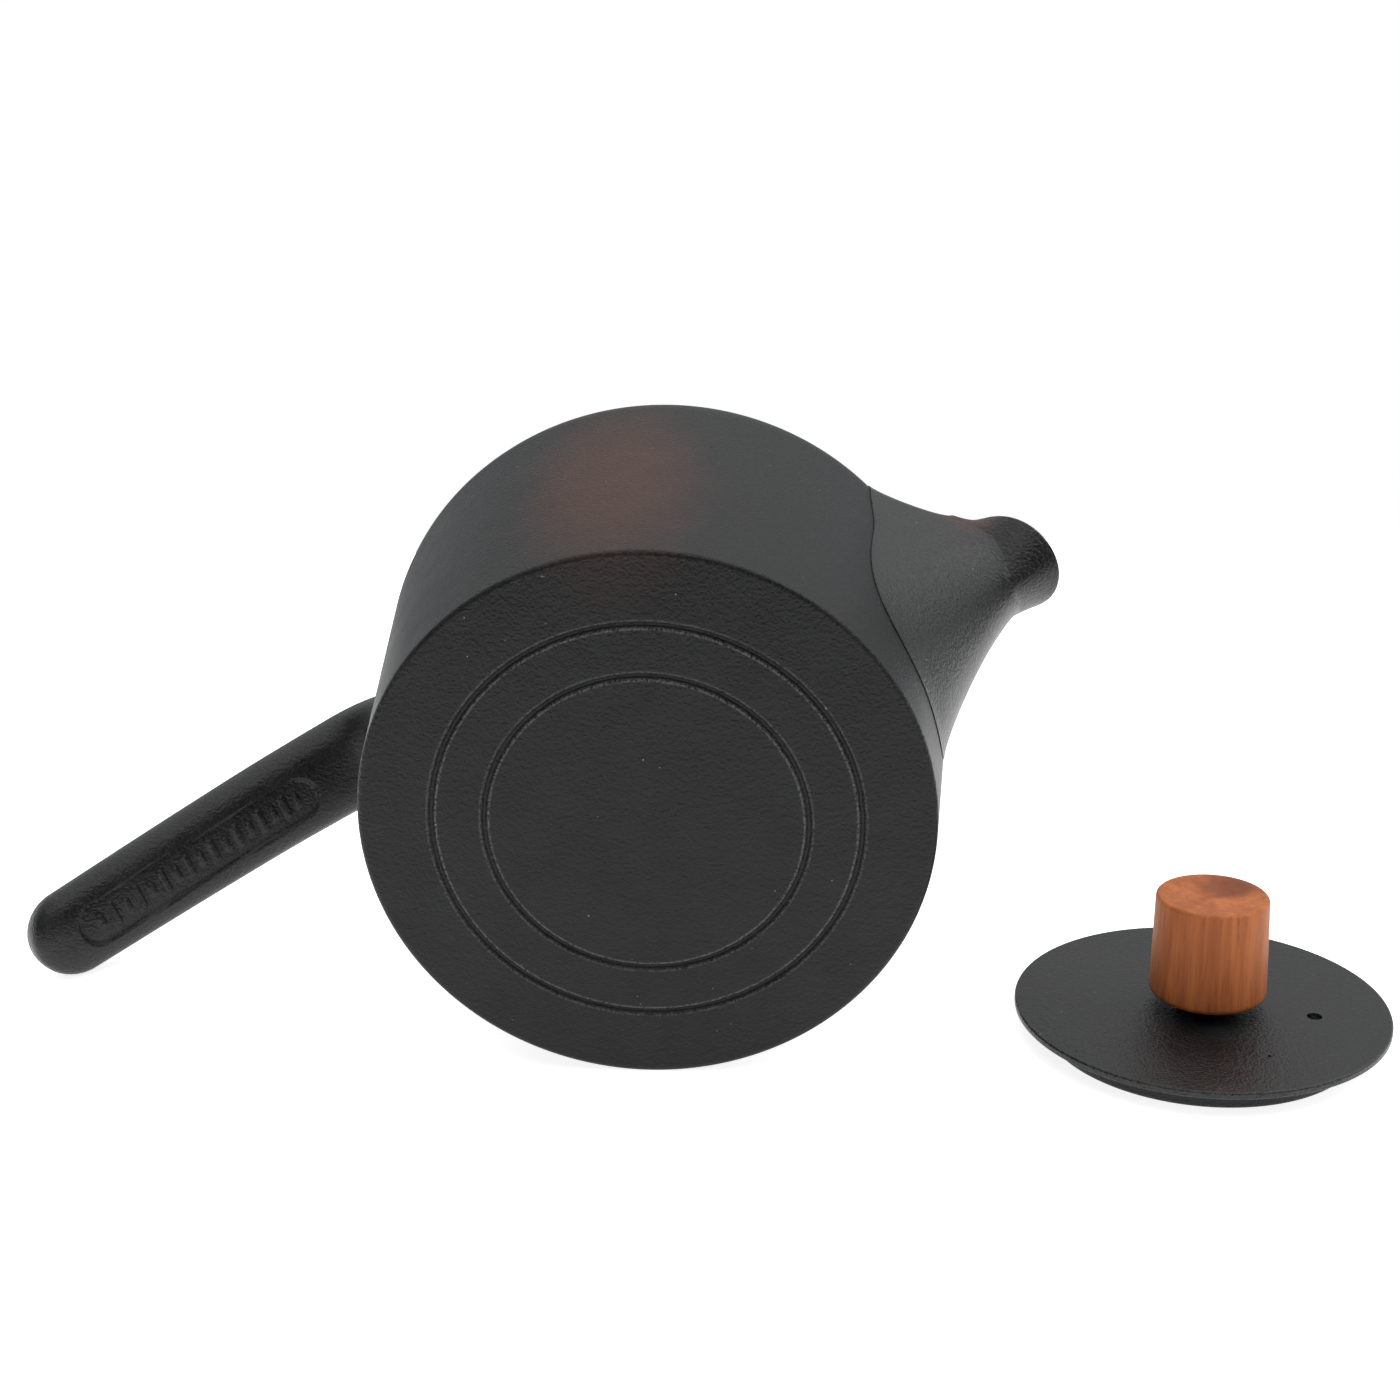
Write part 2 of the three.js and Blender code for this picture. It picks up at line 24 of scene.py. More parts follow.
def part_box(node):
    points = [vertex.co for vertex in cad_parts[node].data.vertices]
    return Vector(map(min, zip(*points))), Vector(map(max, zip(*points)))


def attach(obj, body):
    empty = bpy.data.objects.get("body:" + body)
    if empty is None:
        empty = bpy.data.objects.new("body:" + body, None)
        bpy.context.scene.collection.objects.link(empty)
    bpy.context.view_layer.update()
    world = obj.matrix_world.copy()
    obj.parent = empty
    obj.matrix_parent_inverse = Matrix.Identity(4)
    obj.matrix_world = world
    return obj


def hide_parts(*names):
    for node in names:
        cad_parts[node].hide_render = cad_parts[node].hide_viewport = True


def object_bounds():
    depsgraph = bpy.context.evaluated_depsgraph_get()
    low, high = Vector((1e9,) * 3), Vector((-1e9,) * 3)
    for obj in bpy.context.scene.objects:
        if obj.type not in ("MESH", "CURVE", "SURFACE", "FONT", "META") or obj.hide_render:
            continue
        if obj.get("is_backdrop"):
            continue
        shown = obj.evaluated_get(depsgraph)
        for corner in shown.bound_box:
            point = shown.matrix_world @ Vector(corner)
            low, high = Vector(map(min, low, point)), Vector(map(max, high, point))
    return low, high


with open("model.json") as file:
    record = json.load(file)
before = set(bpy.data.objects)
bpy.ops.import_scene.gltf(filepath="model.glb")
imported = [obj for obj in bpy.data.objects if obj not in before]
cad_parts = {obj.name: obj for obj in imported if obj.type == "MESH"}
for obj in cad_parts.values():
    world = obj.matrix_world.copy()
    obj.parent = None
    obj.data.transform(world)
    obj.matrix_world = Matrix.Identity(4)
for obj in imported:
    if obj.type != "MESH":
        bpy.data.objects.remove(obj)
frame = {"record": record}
CAD_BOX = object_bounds()

MM = 0.001
WEAR_AND_GLINT_REACH = 0.35  # how far wear and painted glints run on from a rounded edge, in millimetres
ARC_STEP = math.radians(11)
ARC_ROOM = 0.48  # the share of a straight stretch that one rounding may take
LOG = logging.getLogger("teapot")

Colour = tuple[float, float, float]
WHITE: Colour = (1.0, 1.0, 1.0)


class Slot(str, Enum):
    """The record's material slots."""

    CAST_IRON = "cast_iron"
    TEAK = "teak"
    DARK_STEEL = "dark_steel"
    STAINLESS = "stainless"
    STAINLESS_MESH = "stainless_mesh"
    SILICONE = "silicone"


class Layer(str, Enum):
    """Values that a mesh carries for its finish, one number for each point."""

    # worn edges, and painted glints of light on sharp edges
    WEAR_AND_GLINT = "wear_and_glint"


# ---------------------------------------------------------------- shader expressions


class Signal:
    """A shader socket that takes part in Python expressions on numbers."""

    def __init__(self, nodes: "Nodes", socket: bpy.types.NodeSocket) -> None:
        """Wraps an output socket of a node tree."""
        self.nodes = nodes
        self.socket = socket

    def _math(self, operation: str, first: "Term", second: "Term") -> "Signal":
        """Adds a Math node.

        Args:
            operation: The node's operation.
            first: Its first value or link.
            second: Its second value or link.

        Returns:
            The node's result.
        """
        return self.nodes.node("ShaderNodeMath", {"operation": operation}, {0: first, 1: second})

    def __add__(self, other: "Term") -> "Signal":
        """Sum."""
        return self._math("ADD", self, other)

    def __radd__(self, other: "Term") -> "Signal":
        """Sum, reflected."""
        return self._math("ADD", other, self)

    def __sub__(self, other: "Term") -> "Signal":
        """Difference."""
        return self._math("SUBTRACT", self, other)

    def __rsub__(self, other: "Term") -> "Signal":
        """Difference, reflected."""
        return self._math("SUBTRACT", other, self)

    def __mul__(self, other: "Term") -> "Signal":
        """Product."""
        return self._math("MULTIPLY", self, other)

    def __rmul__(self, other: "Term") -> "Signal":
        """Product, reflected."""
        return self._math("MULTIPLY", other, self)


Term = Union[Signal, float]


class Nodes:
    """A node tree under construction."""

    def __init__(self, tree: bpy.types.NodeTree) -> None:
        """Empties the tree."""
        self.tree = tree
        self.tree.nodes.clear()

    def plug(self, socket: bpy.types.NodeSocket, value: Any) -> None:
        """Links a signal into a socket, or sets the socket's own value."""
        if isinstance(value, Signal):
            self.tree.links.new(value.socket, socket)
        elif isinstance(value, tuple) and len(value) == 3 and socket.type == "RGBA":
            socket.default_value = (*value, 1.0)
        else:
            socket.default_value = value

    def node(
        self,
        kind: str,
        settings: Mapping[str, Any],
        sockets: Mapping[Union[str, int], Any],
        output: Union[str, int] = 0,
    ) -> Signal:
        """Adds a node, sets it up and feeds it.

        Args:
            kind: The node's type.
            settings: Its own settings.
            sockets: Values or links of its input sockets, by name or number.
            output: The output socket to return.

        Returns:
            That output, as a signal.
        """
        made = self.tree.nodes.new(kind)
        for key, value in settings.items():
            setattr(made, key, value)
        for key, value in sockets.items():
            self.plug(made.inputs[key], value)
        return Signal(self, made.outputs[output])

    def show(self, kind: str, surface: Signal) -> None:
        """Ends the tree in an output node of a type, which shows a surface."""
        self.plug(self.tree.nodes.new(kind).inputs["Surface"], surface)


class Shader(Nodes):
    """The node tree of a material with one Principled shader."""

    def __init__(self, name: str) -> None:
        """Starts the material.

        Args:
            name: Its name.
        """
        self.material = bpy.data.materials.new(name)
        self.material.use_nodes = True
        super().__init__(self.material.node_tree)

    def mix(self, low: Any, high: Any, factor: Term) -> Signal:
        """Blends two colours.

        Args:
            low: The colour, or its signal, where the factor is 0.
            high: The colour where it is 1.
            factor: The share of the second colour.

        Returns:
            The blended colour.
        """
        settings = {"data_type": "RGBA", "clamp_factor": True}
        return self.node("ShaderNodeMix", settings, {0: factor, 6: low, 7: high}, output=2)

    def place(self, stretch: Sequence[float] = (1, 1, 1), middle: Sequence[float] = (0, 0, 0)) -> Signal:
        """Object coordinates in millimetres from a middle, stretched along each axis.

        Args:
            stretch: Factor along each axis.
            middle: Their origin in the row frame, in millimetres.

        Returns:
            The coordinates as a vector signal.
        """
        bare_and_glint = self.node("ShaderNodeTexCoord", {}, {}, output="Object")
        origin, factor = tuple(c * MM for c in middle), tuple(f / MM for f in stretch)
        moved = self.node("ShaderNodeVectorMath", {"operation": "SUBTRACT"}, {0: bare_and_glint, 1: origin})
        return self.node("ShaderNodeVectorMath", {"operation": "MULTIPLY"}, {0: moved, 1: factor})

    def noise(self, vector: Signal, size: float, detail: float = 2.0, roughness: float = 0.5) -> Signal:
        """Plain noise from 0 to 1.

        Args:
            vector: The coordinates.
            size: The size of a feature, in their units.
            detail: Octaves.
            roughness: How much each octave keeps.

        Returns:
            The noise's value.
        """
        sockets = {"Vector": vector, "Scale": 1 / size, "Detail": detail, "Roughness": roughness}
        return self.node("ShaderNodeTexNoise", {}, sockets)

    def step(self, value: Term, low: float, high: float) -> Signal:
        """Smooth step of a value from 0 at low to 1 at high."""
        sockets = {"Value": value, "From Min": low, "From Max": high}
        return self.node("ShaderNodeMapRange", {"interpolation_type": "SMOOTHSTEP"}, sockets)

    def relief(self, height: Signal, depth: float) -> Signal:
        """Normal from a height signal, with the depth that a height of 1 stands for, in millimetres."""
        return self.node("ShaderNodeBump", {}, {"Strength": 1.0, "Distance": depth * MM, "Height": height})

    def layer(self, layer: Layer) -> Signal:
        """A value that the mesh carries."""
        settings = {"attribute_type": "GEOMETRY", "attribute_name": layer.value}
        return self.node("ShaderNodeAttribute", settings, {}, output="Fac")

    def dress(self, **sockets: Any) -> bpy.types.Material:
        """Adds and feeds the Principled shader, with underscores for the spaces in its sockets' names.

        Args:
            sockets: Values or links by socket name.

        Returns:
            The finished material.
        """
        named = {key.replace("_", " "): value for key, value in sockets.items()}
        principled = self.node("ShaderNodeBsdfPrincipled", {}, named, output="BSDF")
        self.show("ShaderNodeOutputMaterial", principled)
        return self.material


# ---------------------------------------------------------------- finishes


@dataclass(frozen=True)
class WarmPatch:
    """A soft warm brown patch in the coat, by its strength, and its centre and half sizes in millimetres.
    """

    centre: tuple[float, float, float]
    half: tuple[float, float, float]
    strength: float


@dataclass(frozen=True)
class CastIron:
    """Black sand-cast iron under a thin matte coat, with light specks on its sharp edges: bare worn metal,
    and painted glints.

    The sizes of its patterns and the depth of its relief are in millimetres.
    """

    warm_patches: tuple[WarmPatch, ...] = ()
    name: str = "black_cast_iron"
    specular: float = 0.23
    roughness: float = 0.43
    black: Colour = (0.0060, 0.0061, 0.0063)
    grey: Colour = (0.0105, 0.0107, 0.0110)
    warm_brown: Colour = (0.056, 0.0195, 0.0095)
    # light grey of dust specks and bare worn metal, and of painted glints on sharp edges
    bare_and_glint: Colour = (0.30, 0.30, 0.29)
    grain: float = 0.5
    pit: float = 1.0
    sag: float = 16.0
    blotch: float = 9.0
    dust: float = 0.9
    speckle_size: float = 0.5
    depth: float = 0.16

    def make(self) -> bpy.types.Material:
        """Builds the material."""
        shader = Shader(self.name)
        place = shader.place()
        grain = shader.noise(place, self.grain, 2.0, 0.55)
        pits = shader.step(shader.noise(place, self.pit), 0.38, 0.62)
        sag = shader.noise(place, self.sag, 1.0)
        blotch = shader.noise(place, self.blotch, 3.0, 0.6)
        dust = shader.step(shader.noise(place, self.dust, 0.0), 0.88, 0.90)
        speckle = shader.step(shader.noise(place, self.speckle_size, 2.0, 0.6), 0.34, 0.60)
        # worn edges and painted glints, read from the mesh, broken into specks
        worn_and_glinting = shader.layer(Layer.WEAR_AND_GLINT) * speckle
        coat = shader.mix(self.black, self.grey, shader.step(blotch, 0.3, 0.7))
        # soft warm brown patches: one on the top of the wall, and a small rust spot by the nozzle
        for warm_patch in self.warm_patches:
            coat = shader.mix(coat, self.warm_brown, self.spread(shader, warm_patch, blotch))
        specked = shader.mix(coat, self.bare_and_glint, dust * 0.6)
        return shader.dress(
            # painted glints and worn metal: sharp edges lightened towards light grey
            Base_Color=shader.mix(specked, self.bare_and_glint, worn_and_glinting * 0.55),
            Roughness=self.roughness + (blotch - 0.5) * 0.16 - worn_and_glinting * 0.15,
            Metallic=worn_and_glinting * 0.5,
            Specular_IOR_Level=self.specular,
            Normal=shader.relief(grain * 0.8 + pits * 0.3 + sag * 0.6, self.depth),
        )

    @staticmethod
    def spread(shader: Shader, warm_patch: WarmPatch, blotch: Signal) -> Signal:
        """Cover of a warm patch: its strength at its centre, fading out to its half sizes.

        Args:
            shader: The material.
            warm_patch: The patch.
            blotch: Noise that makes its edge uneven.

        Returns:
            The share of warm brown.
        """
        local = shader.place([1 / size for size in warm_patch.half], warm_patch.centre)
        reach = shader.node("ShaderNodeVectorMath", {"operation": "LENGTH"}, {0: local}, output="Value")
        return (1 - shader.step(reach + (blotch - 0.5) * 0.35, 0.25, 1.15)) * warm_patch.strength


@dataclass(frozen=True)
class OiledTeak:
    """Oiled reddish-brown wood with its grain along the knob's axis and a darker patch on its top.

    Its places and sizes are in millimetres, and the dark patch's place is from the knob's centre.
    """

    centre: tuple[float, float, float]
    dark_patch: tuple[float, float, float] = (4.5, 5.0, 11.0)
    name: str = "oiled_teak"
    light: Colour = (0.54, 0.165, 0.045)
    mid: Colour = (0.37, 0.098, 0.026)
    dark: Colour = (0.16, 0.034, 0.009)
    stretch: float = 18.0  # how much longer its figure is along the axis than across it
    warp: float = 9.1
    pore: float = 0.385
    streak: float = 1.61
    band: float = 5.0

    def make(self) -> bpy.types.Material:
        """Builds the material."""
        shader = Shader(self.name)
        along = shader.place((1, 1, 1 / self.stretch), self.centre)
        warp = shader.noise(along, self.warp)
        pores = shader.noise(along, self.pore, 3.0, 0.65)
        streaks = shader.noise(along, self.streak, 3.0, 0.6)
        bands = shader.noise(along, self.band)
        # a darker patch on the knob's top, towards the back and right
        away = {0: shader.place(middle=self.centre), 1: self.dark_patch}
        reach = shader.node("ShaderNodeVectorMath", {"operation": "DISTANCE"}, away, output="Value")
        dark_patch = 1 - shader.step(reach + (warp - 0.5) * 9.0, 2.0, 8.5)
        tone = shader.step(streaks * 0.6 + bands * 0.5, 0.40, 0.72)
        wood = shader.mix(self.mid, self.light, tone)
        lined = shader.mix(wood, self.dark, shader.step(pores, 0.54, 0.74) * 0.55)
        shaded = shader.mix(lined, self.dark, dark_patch * 0.75)
        return shader.dress(
            Base_Color=shaded,
            Roughness=0.45 + pores * 0.18,
            Specular_IOR_Level=0.28,
            Normal=shader.relief(pores * 0.8 + streaks * 0.5, 0.06),
        )


@dataclass(frozen=True)
class BrushedSteel:
    """Stainless steel with fine turned marks, a little duller where it is handled."""

    name: str = "brushed_stainless"
    bright: Colour = (0.66, 0.66, 0.65)
    dull: Colour = (0.50, 0.50, 0.50)
    smudge: float = 11.0  # millimetres
    roughness: float = 0.27

    def make(self) -> bpy.types.Material:
        """Builds the material."""
        shader = Shader(self.name)
        marks = shader.noise(shader.place((0.3, 6.0, 0.3)), 1.0, 3.0, 0.6)
        smudge = shader.noise(shader.place(), self.smudge)
        return shader.dress(
            Base_Color=shader.mix(self.dull, self.bright, shader.step(smudge, 0.25, 0.7)),
            Metallic=1.0,
            Roughness=self.roughness + (marks - 0.5) * 0.2 + (0.5 - smudge) * 0.12,
            Normal=shader.relief(marks, 0.02),
        )


@dataclass(frozen=True)
class DarkFinish:
    """A dark, nearly plain finish with a fine tooth: blackened steel, or silicone."""

    name: str
    low: Colour
    high: Colour
    roughness: float
    metallic: float
    tooth: float = 0.35  # millimetres, as are the next two
    cloud: float = 4.0
    depth: float = 0.02

    def make(self) -> bpy.types.Material:
        """Builds the material."""
        shader = Shader(self.name)
        place = shader.place()
        fine = shader.noise(place, self.tooth)
        broad = shader.noise(place, self.cloud)
        return shader.dress(
            Base_Color=shader.mix(self.low, self.high, shader.step(broad, 0.3, 0.7)),
            Metallic=self.metallic,
            Roughness=self.roughness + (broad - 0.5) * 0.15,
            Normal=shader.relief(fine, self.depth),
        )


@dataclass(frozen=True)
class Paper:
    """The pale, matte sheet that the set lies on."""

    name: str = "pale_sheet"
    colour: Colour = (0.90, 0.90, 0.90)
    glow: float = 0.85

    def make(self) -> bpy.types.Material:
        """Builds the material."""
        return Shader(self.name).dress(
            Base_Color=self.colour,
            Roughness=0.7,
            Specular_IOR_Level=0.2,
            Emission_Color=WHITE,
            Emission_Strength=self.glow,
        )


# ---------------------------------------------------------------- forms


@dataclass(frozen=True)
class Corner:
    """A corner of a turned outline, its rounding, and the wear and painted glint of its edge."""

    radius: float
    height: float
    round: float = 0.0
    wear_and_glint: float = 0.0


def smooth(value: Any, low: float, high: float) -> Any:
    """Smooth step of a number or an array from 0 at low to 1 at high."""
    t = np.clip((value - low) / (high - low), 0.0, 1.0)
    return t * t * (3 - 2 * t)


def blend(pair: Sequence[float], t: Any) -> Any:
    """Value between a pair's first number, at 0, and its second, at 1."""
    return pair[0] + (pair[1] - pair[0]) * t


def power(value: Any, exponent: float) -> Any:
    """Power of a number or an array that keeps its sign."""
    return np.sign(value) * np.abs(value) ** exponent


def outline(corners: Sequence[Corner], span: float = 3.0) -> tuple[np.ndarray, np.ndarray]:
    """Turns corners into closely spaced points, with each rounding as a true arc.

    Args:
        corners: The corners in order. The first and last stay sharp.
        span: The longest straight step between points, in millimetres.

    Returns:
        The points, as rows of radius and height, and the wear and painted glint at each.
    """
    spots = [np.array([c.radius, c.height], float) for c in corners]
    points: list[np.ndarray] = [spots[0]]
    wear_and_glint = [corners[0].wear_and_glint]
    for i in range(1, len(corners) - 1):
        before, here, after = spots[i - 1], spots[i], spots[i + 1]
        arc = [here]
        if corners[i].round > 0:
            arc = fillet(before, here, after, corners[i].round)
        points.extend(arc)
        wear_and_glint.extend([corners[i].wear_and_glint] * len(arc))
    points.append(spots[-1])
    wear_and_glint.append(corners[-1].wear_and_glint)
    dense, dense_wear_and_glint = [points[0]], [wear_and_glint[0]]
    for a, b, start, end in zip(points, points[1:], wear_and_glint, wear_and_glint[1:]):
        length = float(np.linalg.norm(b - a))
        marks = set(np.linspace(0, 1, max(1, math.ceil(length / span)) + 1)[1:])
        if max(start, end) > 0 and length > 3 * WEAR_AND_GLINT_REACH:
            marks |= {WEAR_AND_GLINT_REACH / length, 1 - WEAR_AND_GLINT_REACH / length}
        for mark in sorted(marks):
            dense.append(a + (b - a) * mark)
            dense_wear_and_glint.append(end if mark == 1 else 0.0)
    return np.array(dense), np.array(dense_wear_and_glint)


def fillet(before: np.ndarray, here: np.ndarray, after: np.ndarray, radius: float) -> list[np.ndarray]:
    """Arc that rounds a corner between two straight lines.

    Args:
        before: The point before the corner.
        here: The corner.
        after: The point after it.
        radius: The arc's radius, which shrinks where the lines are too short for it.

    Returns:
        The arc's points.
    """
    back, on = before - here, after - here
    a, b = back / np.linalg.norm(back), on / np.linalg.norm(on)
    half = math.acos(float(np.clip(a @ b, -0.99999, 0.99999))) / 2
    room = ARC_ROOM * min(float(np.linalg.norm(back)), float(np.linalg.norm(on)))
    reach = min(radius / math.tan(half), room)
    bend = a + b
    centre = here + bend / np.linalg.norm(bend) * reach / math.cos(half)
    start, end = here + a * reach - centre, here + b * reach - centre
    sweep = math.pi - 2 * half
    turn = math.copysign(sweep, start[0] * end[1] - start[1] * end[0])
    steps = max(3, math.ceil(sweep / ARC_STEP))
    arc = []
    for k in range(steps + 1):
        angle = turn * k / steps
        c, s = math.cos(angle), math.sin(angle)
        arc.append(centre + np.array([c * start[0] - s * start[1], s * start[0] + c * start[1]]))
    return arc


def spun(line: np.ndarray, sides: int) -> np.ndarray:
    """Turns a line about the Z axis.

    Args:
        line: Rows of radius and height.
        sides: Steps round the axis.

    Returns:
        A ring of points for each row.
    """
    angle = np.linspace(0, 2 * math.pi, sides, endpoint=False)
    rows = np.empty((len(line), sides, 3))
    rows[..., 0] = line[:, :1] * np.cos(angle)
    rows[..., 1] = line[:, :1] * np.sin(angle)
    rows[..., 2] = line[:, 1:]
    return rows


def catmull_rom(knots: np.ndarray, steps: int) -> np.ndarray:
    """Centripetal Catmull-Rom curve through points.

    Args:
        knots: The points, one a row.
        steps: Points for each stretch.

    Returns:
        The curve's points.
    """

    def between(first: float, last: float, a: np.ndarray, b: np.ndarray) -> np.ndarray:
        """Point on the line that is at a when t is first, and at b when it is last."""
        return (last - t) / (last - first) * a + (t - first) / (last - first) * b

    padded = np.vstack([2 * knots[0] - knots[1], knots, 2 * knots[-1] - knots[-2]])
    curve = [knots[0]]
    for p in (padded[i : i + 4] for i in range(len(knots) - 1)):
        gaps = np.sqrt(np.linalg.norm(np.diff(p, axis=0), axis=1))
        at = np.concatenate([[0], np.cumsum(gaps)])
        for t in np.linspace(at[1], at[2], steps + 1)[1:]:
            low = [between(at[i], at[i + 1], p[i], p[i + 1]) for i in range(3)]
            high = [between(at[i], at[i + 2], low[i], low[i + 1]) for i in range(2)]
            curve.append(between(at[1], at[2], *high))
    return np.array(curve)


@dataclass
class Form:
    """Points in millimetres, and the faces between them, before they become an object."""

    points: list[np.ndarray] = field(default_factory=list)
    wear_and_glint: list[np.ndarray] = field(default_factory=list)
    faces: list[tuple[int, ...]] = field(default_factory=list)

    @property
    def count(self) -> int:
        """Number of points so far."""
        return sum(len(block) for block in self.points)

    def sheet(self, rows: np.ndarray, wear_and_glint: Union[np.ndarray, None] = None, closed: bool = False) -> None:
        """Adds rings of points with quads between them.

        Args:
            rows: Rings of points, each closed on itself, as an array of ring, point and axis.
            wear_and_glint: The wear and painted glint of each ring.
            closed: Whether the last ring joins the first.
        """
        rings, sides = rows.shape[:2]
        start = self.count
        values = np.zeros(rings) if wear_and_glint is None else wear_and_glint
        self.points.append(rows.reshape(-1, 3))
        self.wear_and_glint.append(np.repeat(values, sides))
        for i in range(rings if closed else rings - 1):
            low, high = start + i * sides, start + (i + 1) % rings * sides
            for k in range(sides):
                on = (k + 1) % sides
                self.faces.append((low + k, low + on, high + on, high + k))

    def cap(self, ring: int, sides: int) -> None:
        """Closes a ring of points, by its number from the start, with one face."""
        self.faces.append(tuple(range(ring * sides, (ring + 1) * sides)))

    def turn(
        self, corners: Sequence[Corner], sides: int, span: float = 3.0, closed: bool = False
    ) -> "Form":
        """Adds a turned shape about the local Z axis.

        Args:
            corners: Its outline.
            sides: Steps round it.
            span: The longest step along its outline.
            closed: Whether the outline closes on itself, as a ring's does.

        Returns:
            This form.
        """
        corners = [*corners, corners[0]] if closed else corners
        line, wear_and_glint = outline(corners, span)
        if closed:
            line, wear_and_glint = line[:-1], wear_and_glint[:-1]
        self.sheet(spun(line, sides), wear_and_glint, closed)
        return self

    def build(self, name: str, place: Matrix, sharp: float = 38.0) -> bpy.types.Object:
        """Makes the object, with its points in the row frame.

        Args:
            name: The piece's name.
            place: Where the form's own frame stands in the row frame, in metres.
            sharp: Edges that turn by more than this many degrees are shaded sharp.

        Returns:
            The object, at the origin.
        """
        local = np.vstack(self.points) * MM
        turned = local @ np.array(place.to_3x3()).T + np.array(place.translation)
        mesh = bpy.data.meshes.new(name)
        mesh.from_pydata(turned.tolist(), [], self.faces)
        values = np.concatenate(self.wear_and_glint).astype(np.float32)
        mesh.attributes.new(Layer.WEAR_AND_GLINT.value, "FLOAT", "POINT").data.foreach_set("value", values)
        tidy = bmesh.new()
        tidy.from_mesh(mesh)
        bmesh.ops.remove_doubles(tidy, verts=tidy.verts, dist=2e-6)
        bmesh.ops.dissolve_degenerate(tidy, edges=tidy.edges, dist=1e-6)
        bmesh.ops.recalc_face_normals(tidy, faces=tidy.faces)
        tidy.to_mesh(mesh)
        tidy.free()
        shade(mesh, sharp)
        made = bpy.data.objects.new(name, mesh)
        bpy.context.scene.collection.objects.link(made)
        return made


def shade(mesh: bpy.types.Mesh, sharp: float) -> None:
    """Shades a mesh smooth, apart from edges that turn by more than an angle in degrees.

    Args:
        mesh: The mesh.
        sharp: The angle.
    """
    mesh.polygons.foreach_set("use_smooth", [True] * len(mesh.polygons))
    mesh.set_sharp_from_angle(angle=math.radians(sharp))
    mesh.update()


def carve(made: bpy.types.Object, cutters: Iterable[bpy.types.Object], sharp: float = 38.0) -> None:
    """Cuts tools out of an object and removes them.

    Args:
        made: The object that is cut.
        cutters: Closed objects.
        sharp: Edges that turn by more than this many degrees are shaded sharp.
    """
    tools = list(cutters)
    for tool in tools:
        cut = made.modifiers.new("cut", "BOOLEAN")
        cut.operation, cut.solver, cut.object = "DIFFERENCE", "EXACT", tool
    bpy.context.view_layer.update()
    graph = bpy.context.evaluated_depsgraph_get()
    result = bpy.data.meshes.new_from_object(made.evaluated_get(graph))
    made.modifiers.clear()
    old, made.data = made.data, result
    result.name = made.name
    bpy.data.meshes.remove(old)
    for tool in tools:
        bpy.data.objects.remove(tool)
    shade(result, sharp)


def rod(start: Vector, end: Vector, radius: float, place: Matrix, sides: int = 48) -> bpy.types.Object:
    """Round rod for a cut, between two points in millimetres of a form's own frame.

    Args:
        start: Its first end.
        end: Its second end.
        radius: Its radius.
        place: Where the form's own frame stands in the row frame.
        sides: Steps round it.

    Returns:
        The rod, as a closed object.
    """
    along = end - start
    turn = along.to_track_quat("Z", "Y").to_matrix().to_4x4()
    spot = place @ Matrix.Translation(start * MM) @ turn
    form = Form()
    corners = [Corner(0, 0), Corner(radius, 0), Corner(radius, along.length), Corner(0, along.length)]
    return form.turn(corners, sides, span=along.length).build("tool", spot)


def finish_piece(
    made: bpy.types.Object, body: str, slot: Slot, material: bpy.types.Material, *nodes: str
) -> None:
    """Dresses a piece and ties it to the frame.

    Args:
        made: The piece.
        body: The body that it moves with.
        slot: The record's slot of its finish. It is not used.
        material: Its finish.
        nodes: The CAD nodes that it stands for.
    """
    made.data.materials.clear()
    made.data.materials.append(material)
    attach(made, body)
    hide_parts(*nodes)
    LOG.info("%s: %d points, on %s, for %s", made.name, len(made.data.vertices), body, ", ".join(nodes))


# ---------------------------------------------------------------- pot


